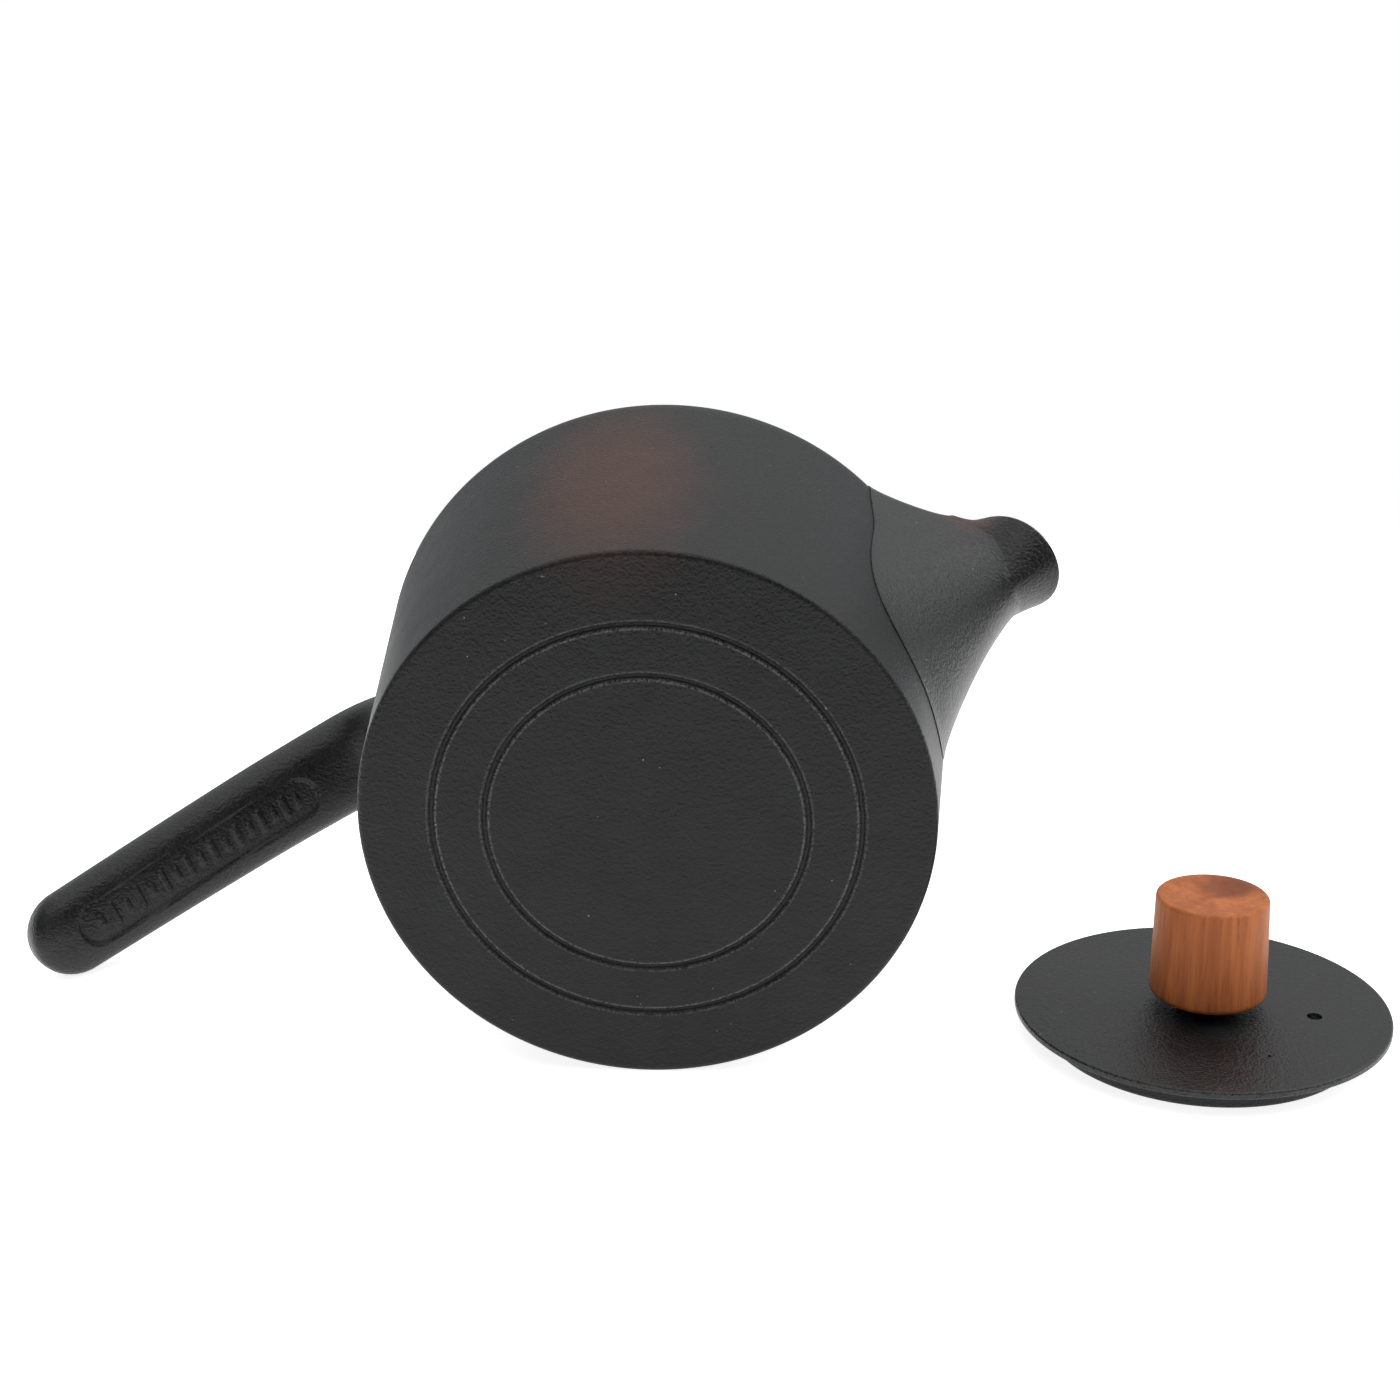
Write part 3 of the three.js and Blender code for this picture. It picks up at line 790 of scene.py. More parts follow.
@dataclass
class Shell:
    """The pot's round casting: a tapered side, a rounded shoulder and a gently sloped deck."""

    bottom_radius: float = 55.0
    taper: float = math.radians(5.72)
    wall: float = 3.2
    floor: float = 4.5
    shoulder: float = 12.0
    deck_slope: float = math.radians(5.0)
    deck_height: float = 84.8  # at the lid's seat
    seat_radius: float = 38.1
    seat_depth: float = 1.8
    basket_seat_radius: float = 34.8
    basket_seat_depth: float = 1.3
    mouth_radius: float = 32.3
    groove_radii: tuple[float, float] = (30.8, 40.9)
    groove_width: float = 1.5
    groove_floor: float = 0.5
    groove_depth: float = 0.6
    groove_glint: tuple[float, float] = (0.55, 0.3)  # painted glints on its inner and outer edge
    edge_wear: float = 0.3
    sides: int = 288

    def side_radius(self, height: Any) -> Any:
        """Radius of the outer face at a height on the tapered side."""
        return self.bottom_radius + height * math.tan(self.taper)

    def crown(self, inset: float = 0.0) -> tuple[float, float]:
        """Where the side's line and the deck's line cross, at a distance inside the outer face.

        Args:
            inset: The distance.

        Returns:
            The crossing's radius and height.
        """
        lean, slope = math.tan(self.taper), math.tan(self.deck_slope)
        foot = self.bottom_radius - inset / math.cos(self.taper)
        deck = self.deck_height + slope * self.seat_radius - inset / math.cos(self.deck_slope)
        height = (deck - slope * foot) / (1 + slope * lean)
        return foot + height * lean, height

    def deck(self, radius: float, inset: float = 0.0) -> float:
        """Height of the deck over a radius."""
        drop = inset / math.cos(self.deck_slope)
        return self.deck_height + (self.seat_radius - radius) * math.tan(self.deck_slope) - drop

    def shoulder_centre(self) -> tuple[float, float]:
        """Centre of the shoulder's arc, as radius and height."""
        radius, height = self.crown()
        half = (math.pi / 2 - self.deck_slope + self.taper) / 2
        reach = self.shoulder * math.tan(half)
        foot = (radius - reach * math.sin(self.taper), height - reach * math.cos(self.taper))
        back, up = self.shoulder * math.cos(self.taper), self.shoulder * math.sin(self.taper)
        return foot[0] - back, foot[1] + up

    def on_side(self, along: Any, bearing: Any, proud: float = 0.0) -> np.ndarray:
        """Points on the outer face.

        Args:
            along: Distance up the outline from the bottom's edge.
            bearing: Angle round the axis.
            proud: Distance outside the face.

        Returns:
            The points, with their coordinates last.
        """
        centre = self.shoulder_centre()
        slant = (centre[1] - self.shoulder * math.sin(self.taper)) / math.cos(self.taper)
        sweep = math.pi / 2 - self.deck_slope + self.taper
        turned = np.clip((along - slant) / self.shoulder, 0, sweep)
        angle = turned - self.taper
        straight = np.minimum(along, slant)
        past = np.maximum(along - slant - sweep * self.shoulder, 0)
        low = (straight - slant) * math.sin(self.taper), (straight - slant) * math.cos(self.taper)
        reach = self.shoulder + proud
        radius = centre[0] + reach * np.cos(angle) + low[0] - past * math.cos(self.deck_slope)
        height = centre[1] + reach * np.sin(angle) + low[1] + past * math.sin(self.deck_slope)
        return np.stack([radius * np.cos(bearing), radius * np.sin(bearing), height], axis=-1)

    def corners(self) -> list[Corner]:
        """Outline of the casting, from the middle of its bottom round to the middle of its floor."""
        grooves = []
        wide, deep = self.groove_width / 2, self.groove_floor / 2
        for radius in self.groove_radii:
            # the grooves' top edges carry painted glints
            grooves += [
                Corner(radius - wide, 0, 0.2, self.groove_glint[0]),
                Corner(radius - deep, self.groove_depth, 0.2),
                Corner(radius + deep, self.groove_depth, 0.2),
                Corner(radius + wide, 0, 0.2, self.groove_glint[1]),
            ]
        seat = self.deck_height - self.seat_depth
        ledge = seat - self.basket_seat_depth
        inner = self.wall + self.seat_depth + self.basket_seat_depth
        lean = math.tan(self.taper)
        inside = self.bottom_radius - self.wall / math.cos(self.taper)
        return [
            Corner(0, 0),
            *grooves,
            # a faint painted glint along the bottom's rounded edge
            Corner(self.bottom_radius, 0, 1.1, 0.03),
            Corner(*self.crown(), self.shoulder),
            Corner(self.seat_radius, self.deck_height, 0.4, self.edge_wear),
            Corner(self.seat_radius, seat, 0.3),
            Corner(self.basket_seat_radius, seat, 0.3, self.edge_wear),
            Corner(self.basket_seat_radius, ledge, 0.2),
            Corner(self.mouth_radius, ledge, 0.6, self.edge_wear),
            Corner(self.mouth_radius, self.deck(self.mouth_radius, inner), 1.2),
            Corner(*self.crown(self.wall), self.shoulder - self.wall),
            Corner(inside + self.floor * lean, self.floor, 5.0),
            Corner(0, self.floor),
        ]

    def build(self, place: Matrix, tools: Iterable[bpy.types.Object]) -> bpy.types.Object:
        """Makes the casting, with the hole into the spout cut through its side.

        Args:
            place: The pot's own frame.
            tools: Closed objects to cut out of it.

        Returns:
            The casting.
        """
        made = Form().turn(self.corners(), self.sides).build("body_casting", place)
        carve(made, tools)
        return made


@dataclass
class Spout:
    """A beak that grows out of the side on two flat flanks and ends in a short round nozzle."""

    shell: Shell
    reach: float = 80.4
    lip_height: float = 68.75
    pitch: float = math.radians(31)
    lip_pitch: float = math.radians(51.3)
    nozzle_radius: float = 11.1
    neck_across: float = 10.9
    neck_height: tuple[float, float] = (12.2, 11.5)
    neck_egg: float = 0.52
    nozzle_length: tuple[float, float] = (3.0, 14.0)
    bore_radius: float = 8.3
    foot: float = 18.0
    crown: float = 88.0
    half_width: tuple[float, float] = (23.2, 31.0)
    squareness: float = 3.0
    neck_squareness: tuple[float, float] = (3.4, 2.8)
    side_pull: float = 0.35
    nozzle_pull: tuple[float, float] = (0.3, 0.75)
    straightness: float = 0.25
    proud: float = 0.22
    step: float = 1.8
    lip_round: float = 0.9
    bore_straight: float = 14.0
    bore_bend: float = 6.0
    bore_end: tuple[float, float] = (51.0, 53.2)  # inside the pot, from its axis and its bottom
    sides: int = 160
    rows: int = 72

    def __post_init__(self) -> None:
        """Works out the nozzle's directions and the angle of each side."""
        self.out = np.array([math.cos(self.pitch), 0, math.sin(self.pitch)])
        self.up = np.array([-math.sin(self.lip_pitch), 0, math.cos(self.lip_pitch)])
        self.lip = np.array([self.reach, 0, self.lip_height])
        self.turn = np.linspace(0, 2 * math.pi, self.sides, endpoint=False)
        self.under = (1 - np.sin(self.turn)) / 2
        self.below = smooth(self.under, 0.3, 0.7)
        self.length = blend(self.nozzle_length, self.under**2)
        self.neck_shape = blend(self.neck_squareness, self.below)

    def foot_line(self, proud: float) -> tuple[np.ndarray, np.ndarray]:
        """The outline of the spout's foot on the shell.

        Args:
            proud: Distance outside the shell.

        Returns:
            Its points and the way that the flank leaves each.
        """
        middle, half = (self.foot + self.crown) / 2, (self.crown - self.foot) / 2
        along = middle + half * power(np.sin(self.turn), 2 / self.squareness)
        width = blend(self.half_width, smooth(along, middle, self.crown))
        across = width * power(np.cos(self.turn), 2 / self.squareness)
        aim = along + 0.15 * (middle + 12 - along)
        bearing, aimed = self._bearing(along, across), self._bearing(aim, across * 0.85)
        place = self.shell.on_side(along, bearing, proud)
        toward = self.shell.on_side(aim, aimed, proud) - place
        return place, toward / np.linalg.norm(toward, axis=1, keepdims=True)

    def _bearing(self, along: np.ndarray, across: np.ndarray) -> np.ndarray:
        """Angle round the axis of points at a distance across the side."""
        limit = self.shell.shoulder_centre()[1]
        return across / self.shell.side_radius(np.minimum(along * math.cos(self.shell.taper), limit))

    def ring(self, back: Any, square: Any = 2.0, inset: float = 0.0) -> np.ndarray:
        """Ring round the nozzle's axis, parallel to its lip, which widens towards the flare.

        Args:
            back: Distance behind the lip, for the whole ring or for each point.
            square: The ring's squareness, from 2 for a round one.
            inset: Distance inside the nozzle's outer face.

        Returns:
            The ring's points.
        """
        share = np.clip(np.broadcast_to(back, self.turn.shape) / self.length, 0, 1)
        over = blend(self.neck_height, self.below)
        across = blend((self.nozzle_radius, self.neck_across), share) - inset
        tall = self.nozzle_radius + (over - self.nozzle_radius) * share - inset
        wide = across * power(np.cos(self.turn), 2 / square)
        wide = wide * (1 + self.neck_egg * share * power(np.sin(self.turn), 2 / square))
        high = tall * power(np.sin(self.turn), 2 / square)
        behind = np.broadcast_to(back, self.turn.shape)
        return self.lip + np.outer(wide, [0, 1, 0]) + np.outer(high, self.up) - np.outer(behind, self.out)

    def flare(self, t: float, place: np.ndarray, leave: np.ndarray, end: np.ndarray) -> np.ndarray:
        """Ring of the flare, at a share of the way from its foot to the nozzle.

        Args:
            t: The share.
            place: The foot.
            leave: The way that the flank leaves each point of it.
            end: The ring where the nozzle starts.

        Returns:
            The ring's points.
        """
        chord = end - place
        pull = np.linalg.norm(chord, axis=1, keepdims=True)
        arrive = (1 - self.straightness) * self.out + self.straightness * chord / pull
        push = blend(self.nozzle_pull, self.under)[:, None] * pull
        ring = place * (2 * t**3 - 3 * t**2 + 1) + end * (3 * t**2 - 2 * t**3)
        ring = ring + leave * self.side_pull * pull * (t**3 - 2 * t**2 + t)
        return ring + arrive * push * (t**3 - t**2)

    def bore_line(self, t: np.ndarray) -> np.ndarray:
        """Middle line of the passage, from the lip at 0 to the pot's inside at 1.

        Args:
            t: Shares of the way.

        Returns:
            A point for each.
        """
        first = self.lip - self.out * self.bore_straight
        second = first - self.out * self.bore_bend
        end = np.array([self.bore_end[0], 0, self.bore_end[1]])
        u, v = t[:, None], 1 - t[:, None]
        return self.lip * v**3 + 3 * first * u * v**2 + 3 * second * u**2 * v + end * u**3

    def bore_rings(self, radius: float, t: np.ndarray) -> np.ndarray:
        """Rings of the passage along its middle line.

        Args:
            radius: The passage's radius.
            t: Shares of the way.

        Returns:
            A ring for each.
        """
        line = self.bore_line(t)
        rings = []
        for k, centre in enumerate(line):
            nearby = self.bore_line(np.array([max(t[k] - 0.02, 0), min(t[k] + 0.02, 1)]))
            out = nearby[0] - nearby[1]
            out /= np.linalg.norm(out)
            square = np.array([-out[2], 0, out[0]])
            level = smooth(t[k], 0.0, 0.35)
            up = self.up * (1 - level) + square * level
            up /= np.linalg.norm(up)
            wide = np.outer(np.cos(self.turn) * radius, [0, 1, 0])
            rings.append(centre + wide + np.outer(np.sin(self.turn) * radius, up))
        return np.array(rings)

    def tool(self, place: Matrix) -> bpy.types.Object:
        """Closed round cutter along the passage, for the hole in the shell's side.

        Args:
            place: The pot's own frame.

        Returns:
            The cutter.
        """
        form = Form()
        steps = 12
        form.sheet(self.bore_rings(self.bore_radius, np.linspace(0.55, 1.0, steps)))
        form.cap(0, self.sides)
        form.cap(steps - 1, self.sides)
        return form.build("bore_tool", place)

    def build(self, place: Matrix) -> bpy.types.Object:
        """Makes the spout, with its passage.

        Args:
            place: The pot's own frame.

        Returns:
            The spout.
        """
        start, leave = self.foot_line(self.proud)
        end = self.ring(self.length, self.neck_shape)
        rings = [self.foot_line(-1.4)[0], self.foot_line(0.0)[0]]
        rings += [self.flare(t, start, leave, end) for t in np.linspace(0, 1, self.rows)]
        for t in np.linspace(0, 1, 9)[1:]:
            back = self.length - self.step * t
            shift = math.sin(t * math.pi / 2)
            rings.append(self.ring(back, self.neck_shape) * (1 - shift) + self.ring(back) * shift)
        for t in np.linspace(0, 1, 9)[1:]:
            rings.append(self.ring(blend((self.length - self.step, self.lip_round), t)))
        for angle in np.radians(np.arange(15, 91, 15)):
            inset = self.lip_round * (1 - math.cos(angle))
            rings.append(self.ring(self.lip_round * (1 - math.sin(angle)), inset=inset))
        mouth = self.nozzle_radius - self.bore_radius
        rings += [self.ring(0.0, inset=mouth - 0.5), self.ring(0.5, inset=mouth)]
        bore = self.bore_rings(self.bore_radius, np.linspace(0.05, 0.96, 24))
        form = Form()
        form.sheet(np.concatenate([np.array(rings), bore]), closed=True)
        return form.build("spout_casting", place, sharp=50)


@dataclass
class Handle:
    """A broad flat bar that rises from the shoulder, bends over and runs down to a round tip."""

    shell: Shell
    width: tuple[float, float] = (25.0, 19.1)
    thickness: tuple[float, float] = (14.6, 12.1)
    squareness: float = 2.6
    panel_start: float = 10.0
    panel_length: float = 63.0
    panel_width: float = 10.6
    panel_depth: float = 1.0
    marks: int = 17
    mark_height: float = 0.6
    mark_radius: float = 0.75
    mark_halves: tuple[float, float] = (0.9, 2.3)  # half lengths of pips and bars
    swell: float = 0.18  # at its root
    swell_ends: tuple[float, float] = (12.0, 50.0)
    bite: float = 1.2  # how deep it goes into the shell
    sides: int = 200
    rows: int = 420

    line: tuple[tuple[float, float], ...] = (
        (-55, 66),
        (-61, 82),
        (-70, 91.5),
        (-80, 93.6),
        (-96.5, 84.8),
        (-118, 68.8),
        (-151.2, 41.4),
    )

    def __post_init__(self) -> None:
        """Runs a centripetal Catmull-Rom curve through the line's points, in even steps."""
        knots = np.array(self.line, float)
        dense = catmull_rom(knots, 60)
        steps = np.linalg.norm(np.diff(dense, axis=0), axis=1)
        self.travel = np.concatenate([[0], np.cumsum(steps)])
        self.dense = dense
        self.length = float(self.travel[-1])

    def at(self, from_root: Any) -> tuple[np.ndarray, np.ndarray]:
        """Place and direction of the middle line, in the middle plane, at distances from its root.

        Args:
            from_root: The distances.

        Returns:
            The places and the directions, each with its coordinates last.
        """

        def point(travel: Any) -> np.ndarray:
            """Places at distances along the line."""
            return np.stack([np.interp(travel, self.travel, line) for line in self.dense.T], axis=-1)

        ahead = point(np.minimum(from_root + 0.6, self.length))
        along = ahead - point(np.maximum(from_root - 0.6, 0))
        return point(from_root), along / np.linalg.norm(along, axis=-1, keepdims=True)

    def sink(self, from_tip: np.ndarray, across: np.ndarray) -> np.ndarray:
        """Depth of the panel, less the height of its marks, at places on the underside.

        Args:
            from_tip: Distance from the handle's tip.
            across: Distance from its middle line.

        Returns:
            The depths.
        """
        half = (self.panel_length - self.panel_width) / 2
        middle = self.panel_start + self.panel_length / 2
        x = from_tip - middle
        edge = np.hypot(np.maximum(np.abs(x) - half, 0), across) - self.panel_width / 2
        depth = self.panel_depth * (1 - smooth(edge, -0.55, 0.2))
        pitch = 2 * half / (self.marks - 1)
        index = np.clip(np.round((x + half) / pitch), 0, self.marks - 1)
        near = x + half - index * pitch
        tall = np.where(index % 2 == 0, *self.mark_halves)
        mark = np.hypot(near, np.maximum(np.abs(across) - tall, 0)) - self.mark_radius
        return depth - self.mark_height * (1 - smooth(mark, -0.35, 0.3))

    def build(self, place: Matrix) -> bpy.types.Object:
        """Makes the handle, trimmed to the shell's shoulder.

        Args:
            place: The pot's own frame.

        Returns:
            The handle.
        """
        tip = self.width[1] / 2
        straight = np.linspace(0, self.length - tip, self.rows)
        angle = np.linspace(0, math.pi / 2, 25)[1:]
        travel = np.concatenate([straight, self.length - tip + tip * np.sin(angle)])
        shrink = np.concatenate([np.ones(self.rows), np.maximum(np.cos(angle), 1e-4)])
        share = travel / self.length
        middle, along = self.at(travel)
        up = np.stack([along[:, 1], -along[:, 0]], axis=-1)
        turn = np.linspace(0, 2 * math.pi, self.sides, endpoint=False)
        root = 1 + self.swell * (1 - smooth(travel, *self.swell_ends))
        wide = blend(self.width, share) / 2 * shrink * root
        deep = blend(self.thickness, share) / 2 * shrink**0.6 * root
        across = wide[:, None] * power(np.cos(turn), 2 / self.squareness)
        rise = deep[:, None] * power(np.sin(turn), 2 / self.squareness)
        under = smooth(-np.sin(turn), 0.55, 0.8)
        rise = rise + self.sink((self.length - travel)[:, None], across) * under
        rows = np.empty((len(travel), self.sides, 3))
        rows[..., 0] = middle[:, :1] + up[:, :1] * rise
        rows[..., 1] = across
        rows[..., 2] = middle[:, 1:] + up[:, 1:] * rise
        form = Form()
        form.sheet(rows)
        form.cap(0, self.sides)
        form.cap(len(travel) - 1, self.sides)
        made = form.build("handle_casting", place)
        trim = [
            Corner(0, -1),
            Corner(self.shell.bottom_radius - self.bite, -1),
            Corner(*self.shell.crown(self.bite), self.shell.shoulder - self.bite),
            Corner(0, self.shell.deck(0, self.bite)),
        ]
        carve(made, [Form().turn(trim, 160).build("trim_tool", place)])
        return made


@dataclass
class Pot:
    """The laid pot: its shell, spout and handle."""

    iron: bpy.types.Material
    smooth_iron: bpy.types.Material
    shell: Shell = field(default_factory=Shell)
    yaw: float = math.radians(-3.15)
    spin: float = math.radians(-20.4)
    mount_radius: float = 15.0

    def place(self) -> Matrix:
        """The pot's own frame in the row frame, with its origin in the middle of its bottom."""
        mount = next(m for m in frame["record"]["mounts"] if m["name"] == "pot_bottom")
        laid = Matrix.Rotation(self.shell.taper - math.pi / 2, 4, "X")
        turn = Matrix.Rotation(self.yaw, 4, "Z") @ laid @ Matrix.Rotation(self.spin, 4, "Z")
        middle = Vector(mount["pos_m"]) - turn.to_3x3() @ Vector((self.mount_radius * MM, 0, 0))
        return Matrix.Translation(middle) @ turn

    def build(self) -> None:
        """Builds the shell, spout and handle and ties them to the pot's body."""
        place, slot = self.place(), Slot.CAST_IRON
        spout, handle = Spout(self.shell), Handle(self.shell)
        finish_piece(self.shell.build(place, [spout.tool(place)]), "pot", slot, self.iron, "body")
        finish_piece(spout.build(place), "pot", slot, self.smooth_iron, "spout")
        finish_piece(handle.build(place), "pot", slot, self.smooth_iron, "handle")


# ---------------------------------------------------------------- tea basket


@dataclass
class TeaBasket:
    """A stainless basket that hangs in the mouth, with a perforated wall and floor."""

    steel: bpy.types.Material
    place: Matrix
    seat: float = 81.7
    gap: float = 0.3
    lip: float = 4.0
    flange: float = 0.8
    outer: float = 34.5
    radius: float = 29.5
    narrowing: float = 2.5
    depth: float = 58.0
    sheet: float = 0.6
    columns: int = 60
    levels: int = 18
    floor_columns: int = 40
    floor_rings: tuple[float, ...] = (24.6, 21.2, 18.1, 15.4, 13.0, 11.0)
    hole: float = 0.864  # of the half width of its cell

    def rim(self) -> bpy.types.Object:
        """The rolled flange and its short wall."""
        low, inner = self.seat + self.gap, self.radius - self.sheet
        corners = [
            Corner(inner, low - self.lip + 1),
            Corner(inner, low - self.lip, 0.2),
            Corner(inner + self.sheet, low - self.lip, 0.2),
            Corner(inner + self.sheet, low, 0.4),
            Corner(self.outer, low, 0.35),
            Corner(self.outer, low + self.flange, 0.35),
            Corner(inner, low + self.flange, 0.7),
        ]
        return Form().turn(corners, 144, closed=True).build("basket_flange", self.place)

    def pierced(self, form: Form, face: np.ndarray, back: np.ndarray, holes: range) -> None:
        """Adds a sheet of cells, with a round hole through each in some rows, and closes its two edges.

        Args:
            form: The form that takes it.
            face: Corner points of the cells on the near side, as rows of closed rings.
            back: The same on the far side.
            holes: The rows of cells that are pierced.
        """
        rows, columns, start = len(face) - 1, face.shape[1], form.count
        points: list[np.ndarray] = []
        index: dict[tuple[int, int, int], int] = {}

        def rim_point(side: int, row: int, column: int) -> int:
            """Number of a point on the cells' lines, where rows and columns count half cells.

            Args:
                side: 0 for the near side and 1 for the far side.
                row: Half cells from the first ring.
                column: Half cells round it.

            Returns:
                The point's number in the form.
            """
            key = (side, row, column % (2 * columns))
            if key not in index:
                grid = (face, back)[side]
                low, high = row // 2, (row + 1) // 2
                left, right = key[2] // 2, (key[2] + 1) // 2 % columns
                corners = grid[low][left] + grid[low][right] + grid[high][left] + grid[high][right]
                index[key] = start + len(points)
                points.append(corners / 4)
            return index[key]

        around = [(0, 0), (0, 1), (0, 2), (1, 2), (2, 2), (2, 1), (2, 0), (1, 0)]
        sides = len(around)
        for row, column in product(range(rows), range(columns)):
            rims = [[rim_point(side, 2 * row + a, 2 * column + b) for a, b in around] for side in (0, 1)]
            if row not in holes:
                form.faces += [tuple(rims[0]), tuple(reversed(rims[1]))]
                continue
            edges = []
            for rim in rims:
                ring = np.array([points[i - start] for i in rim])
                centre = ring.mean(axis=0)
                spread = ring - centre
                reach = np.linalg.norm(spread, axis=1, keepdims=True)
                edges.append([start + len(points) + k for k in range(sides)])
                points.extend(centre + spread / reach * self.hole * float(reach[1::2].min()))
            for k in range(sides):
                on = (k + 1) % sides
                form.faces += [
                    (rims[0][k], rims[0][on], edges[0][on], edges[0][k]),
                    (rims[1][on], rims[1][k], edges[1][k], edges[1][on]),
                    (edges[0][k], edges[0][on], edges[1][on], edges[1][k]),
                ]
        for row in (0, 2 * rows):
            for column in range(2 * columns):
                near = [rim_point(0, row, column), rim_point(0, row, column + 1)]
                far = [rim_point(1, row, column + 1), rim_point(1, row, column)]
                form.faces.append(tuple(near + far))
        form.points.append(np.array(points))
        form.wear_and_glint.append(np.zeros(len(points)))

    def wall(self) -> bpy.types.Object:
        """The tapered wall, plain at its top and foot and pierced between."""
        top = self.seat - self.lip
        bottom = top - self.depth
        heights = np.linspace(bottom, top, self.levels + 1)
        radii = blend((self.radius - self.narrowing, self.radius), (heights - bottom) / self.depth)
        outside, inside = (np.column_stack([radii - inset, heights]) for inset in (0.0, self.sheet))
        form, holes = Form(), range(1, self.levels - 1)
        self.pierced(form, spun(outside, self.columns), spun(inside, self.columns), holes)
        return form.build("basket_sieve", self.place, sharp=30)

    def floor(self) -> bpy.types.Object:
        """The floor, with rings of holes round a plain middle."""
        top = self.seat - self.lip - self.depth - self.gap
        low, hub = top - self.sheet, self.floor_rings[-1]
        radii = [self.radius - self.narrowing, *self.floor_rings]
        upper, lower = (np.array([(radius, height) for radius in radii]) for height in (top, low))
        form, holes, sides = Form(), range(1, len(radii) - 1), self.floor_columns
        self.pierced(form, spun(upper, sides), spun(lower, sides), holes)
        form.turn([Corner(0, low), Corner(hub, low), Corner(hub, top), Corner(0, top)], 2 * sides)
        return form.build("basket_sieve_floor", self.place, sharp=30)

    def build(self) -> None:
        """Builds the rim, wall and floor and ties them to the basket's body."""
        finish_piece(self.rim(), "basket", Slot.STAINLESS, self.steel, "basket_rim")
        finish_piece(self.wall(), "basket", Slot.STAINLESS_MESH, self.steel, "basket_wall")
        finish_piece(self.floor(), "basket", Slot.STAINLESS_MESH, self.steel, "basket_floor")


# ---------------------------------------------------------------- lid


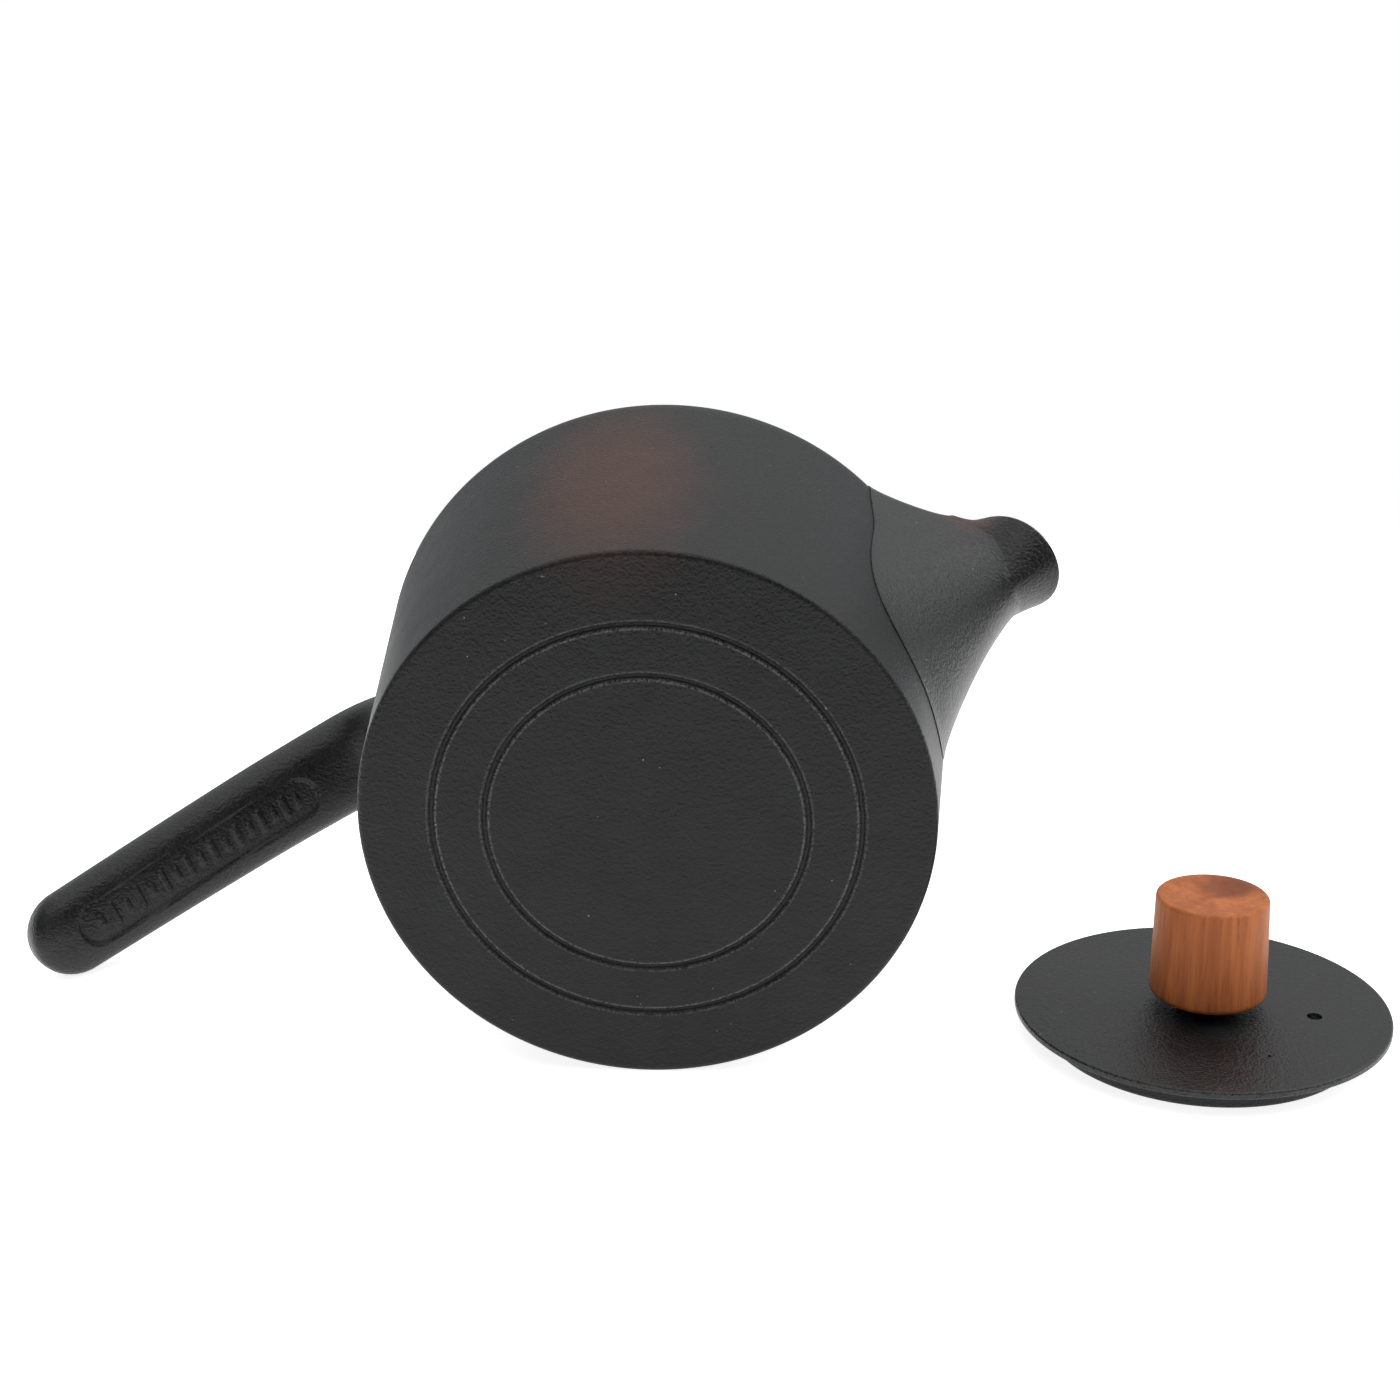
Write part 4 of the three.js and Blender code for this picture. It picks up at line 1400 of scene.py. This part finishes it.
@dataclass
class Lid:
    """The lid on its skirt, with its knob, collar, washer and screw."""

    iron: bpy.types.Material
    radius: float = 37.5
    edge: float = 1.8
    web: float = 3.0
    bevel: float = 2.6
    bevel_drop: float = 0.6
    skirt_radius: float = 31.5
    skirt_wall: float = 3.0
    vent_radius: float = 1.5
    vent: tuple[float, float] = (21.18, -7.29)
    pit: tuple[float, float] = (7.6, -23.3)
    screw_hole: float = 2.6
    knob_round: float = 1.6
    knob_taper: float = 0.953
    knob_bore: tuple[float, float] = (2.3, 14.0)  # radius and depth
    dish: float = 0.7
    sides: int = 256

    def place(self, node: str) -> Matrix:
        """Frame on the surface, under the middle of a node."""
        low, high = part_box(node)
        return Matrix.Translation(Vector(((low.x + high.x) / 2, (low.y + high.y) / 2, 0)))

    def span(self, node: str) -> tuple[float, float, float]:
        """Radius, lowest and highest point of a turned node, in millimetres."""
        low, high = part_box(node)
        return (high.x - low.x) / 2 / MM, low.z / MM, high.z / MM

    def plate(self) -> bpy.types.Object:
        """The cast plate with its skirt, vent and screw hole."""
        place = self.place("lid")
        _, low, top = self.span("lid")
        root = top - self.edge - self.bevel_drop
        inner = self.skirt_radius - self.skirt_wall
        corners = [
            Corner(0, top - self.web),
            Corner(inner, top - self.web, 1.2),
            Corner(inner, low, 0.5),
            Corner(self.skirt_radius, low, 0.5, 0.2),
            Corner(self.skirt_radius, root, 0.8),
            Corner(self.radius - self.bevel, root, 0.8),
            # painted glints along the plate's rounded top edge
            Corner(self.radius, top - self.edge * 0.72, 0.3, 0.03),
            Corner(self.radius, top, 0.42, 0.08),
            Corner(0, top),
        ]
        made = Form().turn(corners, self.sides).build("lid_casting", place)
        knob = self.place("knob").translation - place.translation
        holes = [(*self.vent, self.vent_radius), (knob.x / MM, knob.y / MM, self.screw_hole)]
        tools = [rod(Vector((x, y, -1)), Vector((x, y, top + 1)), r, place) for x, y, r in holes]
        x, y = self.pit
        tools.append(rod(Vector((x, y, top - 0.5)), Vector((x, y, top + 1)), 0.4, place, 16))
        carve(made, tools)
        return made

    def knob(self) -> bpy.types.Object:
        """The turned knob, which narrows a little towards its dished top."""
        radius, low, top = self.span("knob")
        bore, deep = self.knob_bore
        corners = [
            Corner(bore, low + deep),
            Corner(bore, low),
            Corner(radius, low, self.knob_round),
            Corner(radius * self.knob_taper, top, self.knob_round * 0.7),
            Corner(radius * 0.80, top - 0.12, 2.5),
            Corner(radius * 0.45, top - self.dish, 4.0),
            Corner(0, top - self.dish),
            Corner(0, low + deep + 1),
            Corner(bore, low + deep),
        ]
        return Form().turn(corners, 160, span=1.2).build("knob_turning", self.place("knob"))

    def ring(self, node: str, name: str, rounds: Sequence[float], sides: int) -> bpy.types.Object:
        """Flat ring round the screw.

        Args:
            node: The node that it stands for.
            name: Its own name.
            rounds: The rounding of its edges: inner foot, outer foot, outer top and inner top.
            sides: Steps round it.

        Returns:
            The ring.
        """
        radius, low, top = self.span(node)
        hole = self.screw_hole
        edges = [(hole, low), (radius, low), (radius, top), (hole, top)]
        corners = [Corner(hole, (low + top) / 2)]
        corners += [Corner(*edge, size) for edge, size in zip(edges, rounds)]
        return Form().turn(corners, sides, closed=True).build(name, self.place(node))

    def screw(self) -> bpy.types.Object:
        """The slotted screw, with its thread as fine rings."""
        radius, low, top = self.span("knob_screw")
        head, shank, pitch = low + 1.7, 2.0, 0.7
        plain = head + 4.2  # where the thread starts
        corners = [
            Corner(0, low),
            Corner(radius * 0.7, low, 0.8),
            Corner(radius, low + 0.9, 0.5),
            Corner(radius, head, 0.15),
            Corner(shank, head, 0.1),
            Corner(shank, plain),
        ]
        for k in range(int((top - 2 - plain) / pitch)):
            base = plain + k * pitch
            corners += [Corner(shank - 0.35, base + pitch * 0.3), Corner(shank, base + pitch * 0.8)]
        corners += [Corner(shank * 0.7, top - 0.8, 0.2), Corner(0, top)]
        place = self.place("knob_screw")
        made = Form().turn(corners, 64, span=1.5).build("lid_screw", place, sharp=30)
        slot = Form()
        across, deep, wide = radius + 1, 0.8, 0.5
        loops = [
            [(-across, -wide, z), (across, -wide, z), (across, wide, z), (-across, wide, z)]
            for z in (low - 1, low + deep)
        ]
        slot.sheet(np.array(loops, float))
        slot.cap(0, 4)
        slot.cap(1, 4)
        carve(made, [slot.build("slot_tool", place)], sharp=30)
        return made

    def build(
        self,
        teak: bpy.types.Material,
        dark: bpy.types.Material,
        silicone: bpy.types.Material,
        steel: bpy.types.Material,
    ) -> None:
        """Builds the lid's pieces and ties them to its body.

        Args:
            teak: The knob's finish.
            dark: The collar's finish.
            silicone: The washer's finish.
            steel: The screw's finish.
        """
        finish_piece(self.plate(), "lid", Slot.CAST_IRON, self.iron, "lid")
        finish_piece(self.knob(), "lid", Slot.TEAK, teak, "knob")
        collar = self.ring("knob_collar", "knob_spacer", (0, 0.25, 0.5, 0), 96)
        washer = self.ring("screw_washer", "screw_seal", (0.1, 0.3, 0.3, 0.1), 80)
        finish_piece(collar, "lid", Slot.DARK_STEEL, dark, "knob_collar")
        finish_piece(washer, "lid", Slot.SILICONE, silicone, "screw_washer")
        finish_piece(self.screw(), "lid", Slot.STAINLESS, steel, "knob_screw")


# ---------------------------------------------------------------- studio


@dataclass
class Studio:
    """The pale sheet, the soft lights and the camera."""

    middle: Vector
    camera_from_pot: tuple[float, float, float] = (10.8, -344.6, 134.96)
    pitch: float = math.radians(17.717)
    roll: float = math.radians(1.404)
    lens: float = 50.25
    sensor: float = 36.0
    floor_half: float = 0.42
    sky_colour: Colour = (0.96, 0.98, 1.0)
    cool: Colour = (0.98, 0.99, 1.0)
    warm: Colour = (1.0, 0.99, 0.98)

    def camera(self) -> None:
        """Stands the camera before the pot's bottom."""
        data = bpy.data.cameras.new("camera")
        data.lens, data.sensor_width = self.lens, self.sensor
        data.clip_start, data.clip_end = 0.01, 200.0
        made = bpy.data.objects.new("camera", data)
        turn = Matrix.Rotation(math.pi / 2 - self.pitch, 4, "X") @ Matrix.Rotation(-self.roll, 4, "Z")
        spot = self.middle + Vector(self.camera_from_pot) * MM
        made.matrix_world = Matrix.Translation(spot) @ turn
        bpy.context.scene.collection.objects.link(made)
        bpy.context.scene.camera = made

    def floor(self) -> None:
        """Lays the pale sheet."""
        h = self.floor_half
        mesh = bpy.data.meshes.new("sheet")
        mesh.from_pydata([(-h, -h, 0), (h, -h, 0), (h, h, 0), (-h, h, 0)], [], [(0, 1, 2, 3)])
        mesh.materials.append(Paper().make())
        made = bpy.data.objects.new("sheet", mesh)
        bpy.context.scene.collection.objects.link(made)
        made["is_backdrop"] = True

    def sun(
        self, name: str, strength: float, spread: float, tilt: float, heading: float, colour: Colour
    ) -> None:
        """Adds a very soft, even light from far away.

        Args:
            name: The light's name.
            strength: Its irradiance.
            spread: Its width in the sky, in degrees.
            tilt: Degrees from straight overhead.
            heading: The way that it leans from, in degrees from +Y towards +X.
            colour: Its colour.
        """
        data = bpy.data.lights.new(name, "SUN")
        data.energy, data.angle, data.color = strength, math.radians(spread), colour
        made = bpy.data.objects.new(name, data)
        turn, lean = -math.radians(heading), -math.radians(tilt)
        made.matrix_world = Matrix.Rotation(turn, 4, "Z") @ Matrix.Rotation(lean, 4, "X")
        bpy.context.scene.collection.objects.link(made)

    def sky(self, front: float, back: float, seen: float) -> None:
        """Plain surroundings, dimmer on the camera's side than behind the pot, and white when seen.

        Args:
            front: Brightness towards -Y.
            back: Brightness towards +Y.
            seen: Brightness as a background.
        """
        world = bpy.data.worlds.new("surroundings")
        world.use_nodes = True
        nodes = Nodes(world.node_tree)
        way = nodes.node("ShaderNodeTexCoord", {}, {}, output="Generated")
        depth = nodes.node("ShaderNodeSeparateXYZ", {}, {"Vector": way}, output="Y")
        ends = {"Value": depth, "From Min": -0.7, "From Max": 0.7, "To Min": front, "To Max": back}
        strength = nodes.node("ShaderNodeMapRange", {"interpolation_type": "SMOOTHSTEP"}, ends)
        light = nodes.node("ShaderNodeBackground", {}, {"Color": self.sky_colour, "Strength": strength})
        plain = nodes.node("ShaderNodeBackground", {}, {"Color": WHITE, "Strength": seen})
        direct = nodes.node("ShaderNodeLightPath", {}, {}, output="Is Camera Ray")
        both = nodes.node("ShaderNodeMixShader", {}, {0: direct, 1: light, 2: plain})
        nodes.show("ShaderNodeOutputWorld", both)
        bpy.context.scene.world = world

    def build(self) -> None:
        """Sets up the camera, the sheet, the lights and the colour rendering."""
        self.camera()
        self.floor()
        self.sky(front=0.04, back=0.60, seen=1.0)
        self.sun("overhead_softbox", 1.5, 90, 10, 0, self.warm)
        self.sun("right_softbox", 1.1, 60, 50, 80, self.cool)
        self.sun("front_softbox", 0.5, 34, 32, 190, self.cool)
        bpy.context.scene.view_settings.view_transform = "Standard"
        bpy.context.scene.view_settings.look = "None"


# ---------------------------------------------------------------- the whole set


def save_sizes() -> None:
    """Works out the CAD model's box and the visual model's box as plain lists."""
    boxes = {"cad": CAD_BOX, "visual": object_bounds()}
    {name: [list(corner) for corner in box] for name, box in boxes.items()}


def main() -> None:
    """Builds the set in the order that it goes together."""
    logging.basicConfig(level=logging.INFO, format="%(name)s: %(message)s")
    # A soft warm brown patch on the top of the wall, and a small rust spot by the spout's nozzle.
    warm_patches = (
        WarmPatch((-9.5, -16.0, 117.0), (21.0, 46.0, 24.0), 0.9),
        WarmPatch((64.9, 20.2, 98.2), (8.0, 8.0, 6.0), 0.8),
    )
    iron, steel = CastIron(warm_patches).make(), BrushedSteel().make()
    smooth_iron = CastIron(warm_patches, "smooth_cast_iron", specular=0.36, roughness=0.37).make()
    pot = Pot(iron, smooth_iron)
    place = pot.place()
    Studio(place.translation).build()
    pot.build()
    TeaBasket(steel, place).build()
    low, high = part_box("knob")
    teak = OiledTeak(tuple((low + high) / 2 / MM))
    dark = DarkFinish("blackened_steel", (0.008, 0.008, 0.008), (0.016, 0.016, 0.017), 0.42, 0.6)
    silicone = DarkFinish("black_silicone", (0.014, 0.014, 0.015), (0.021, 0.021, 0.022), 0.7, 0.0)
    Lid(smooth_iron).build(teak.make(), dark.make(), silicone.make(), steel)
    save_sizes()


if __name__ == "__main__":
    main()
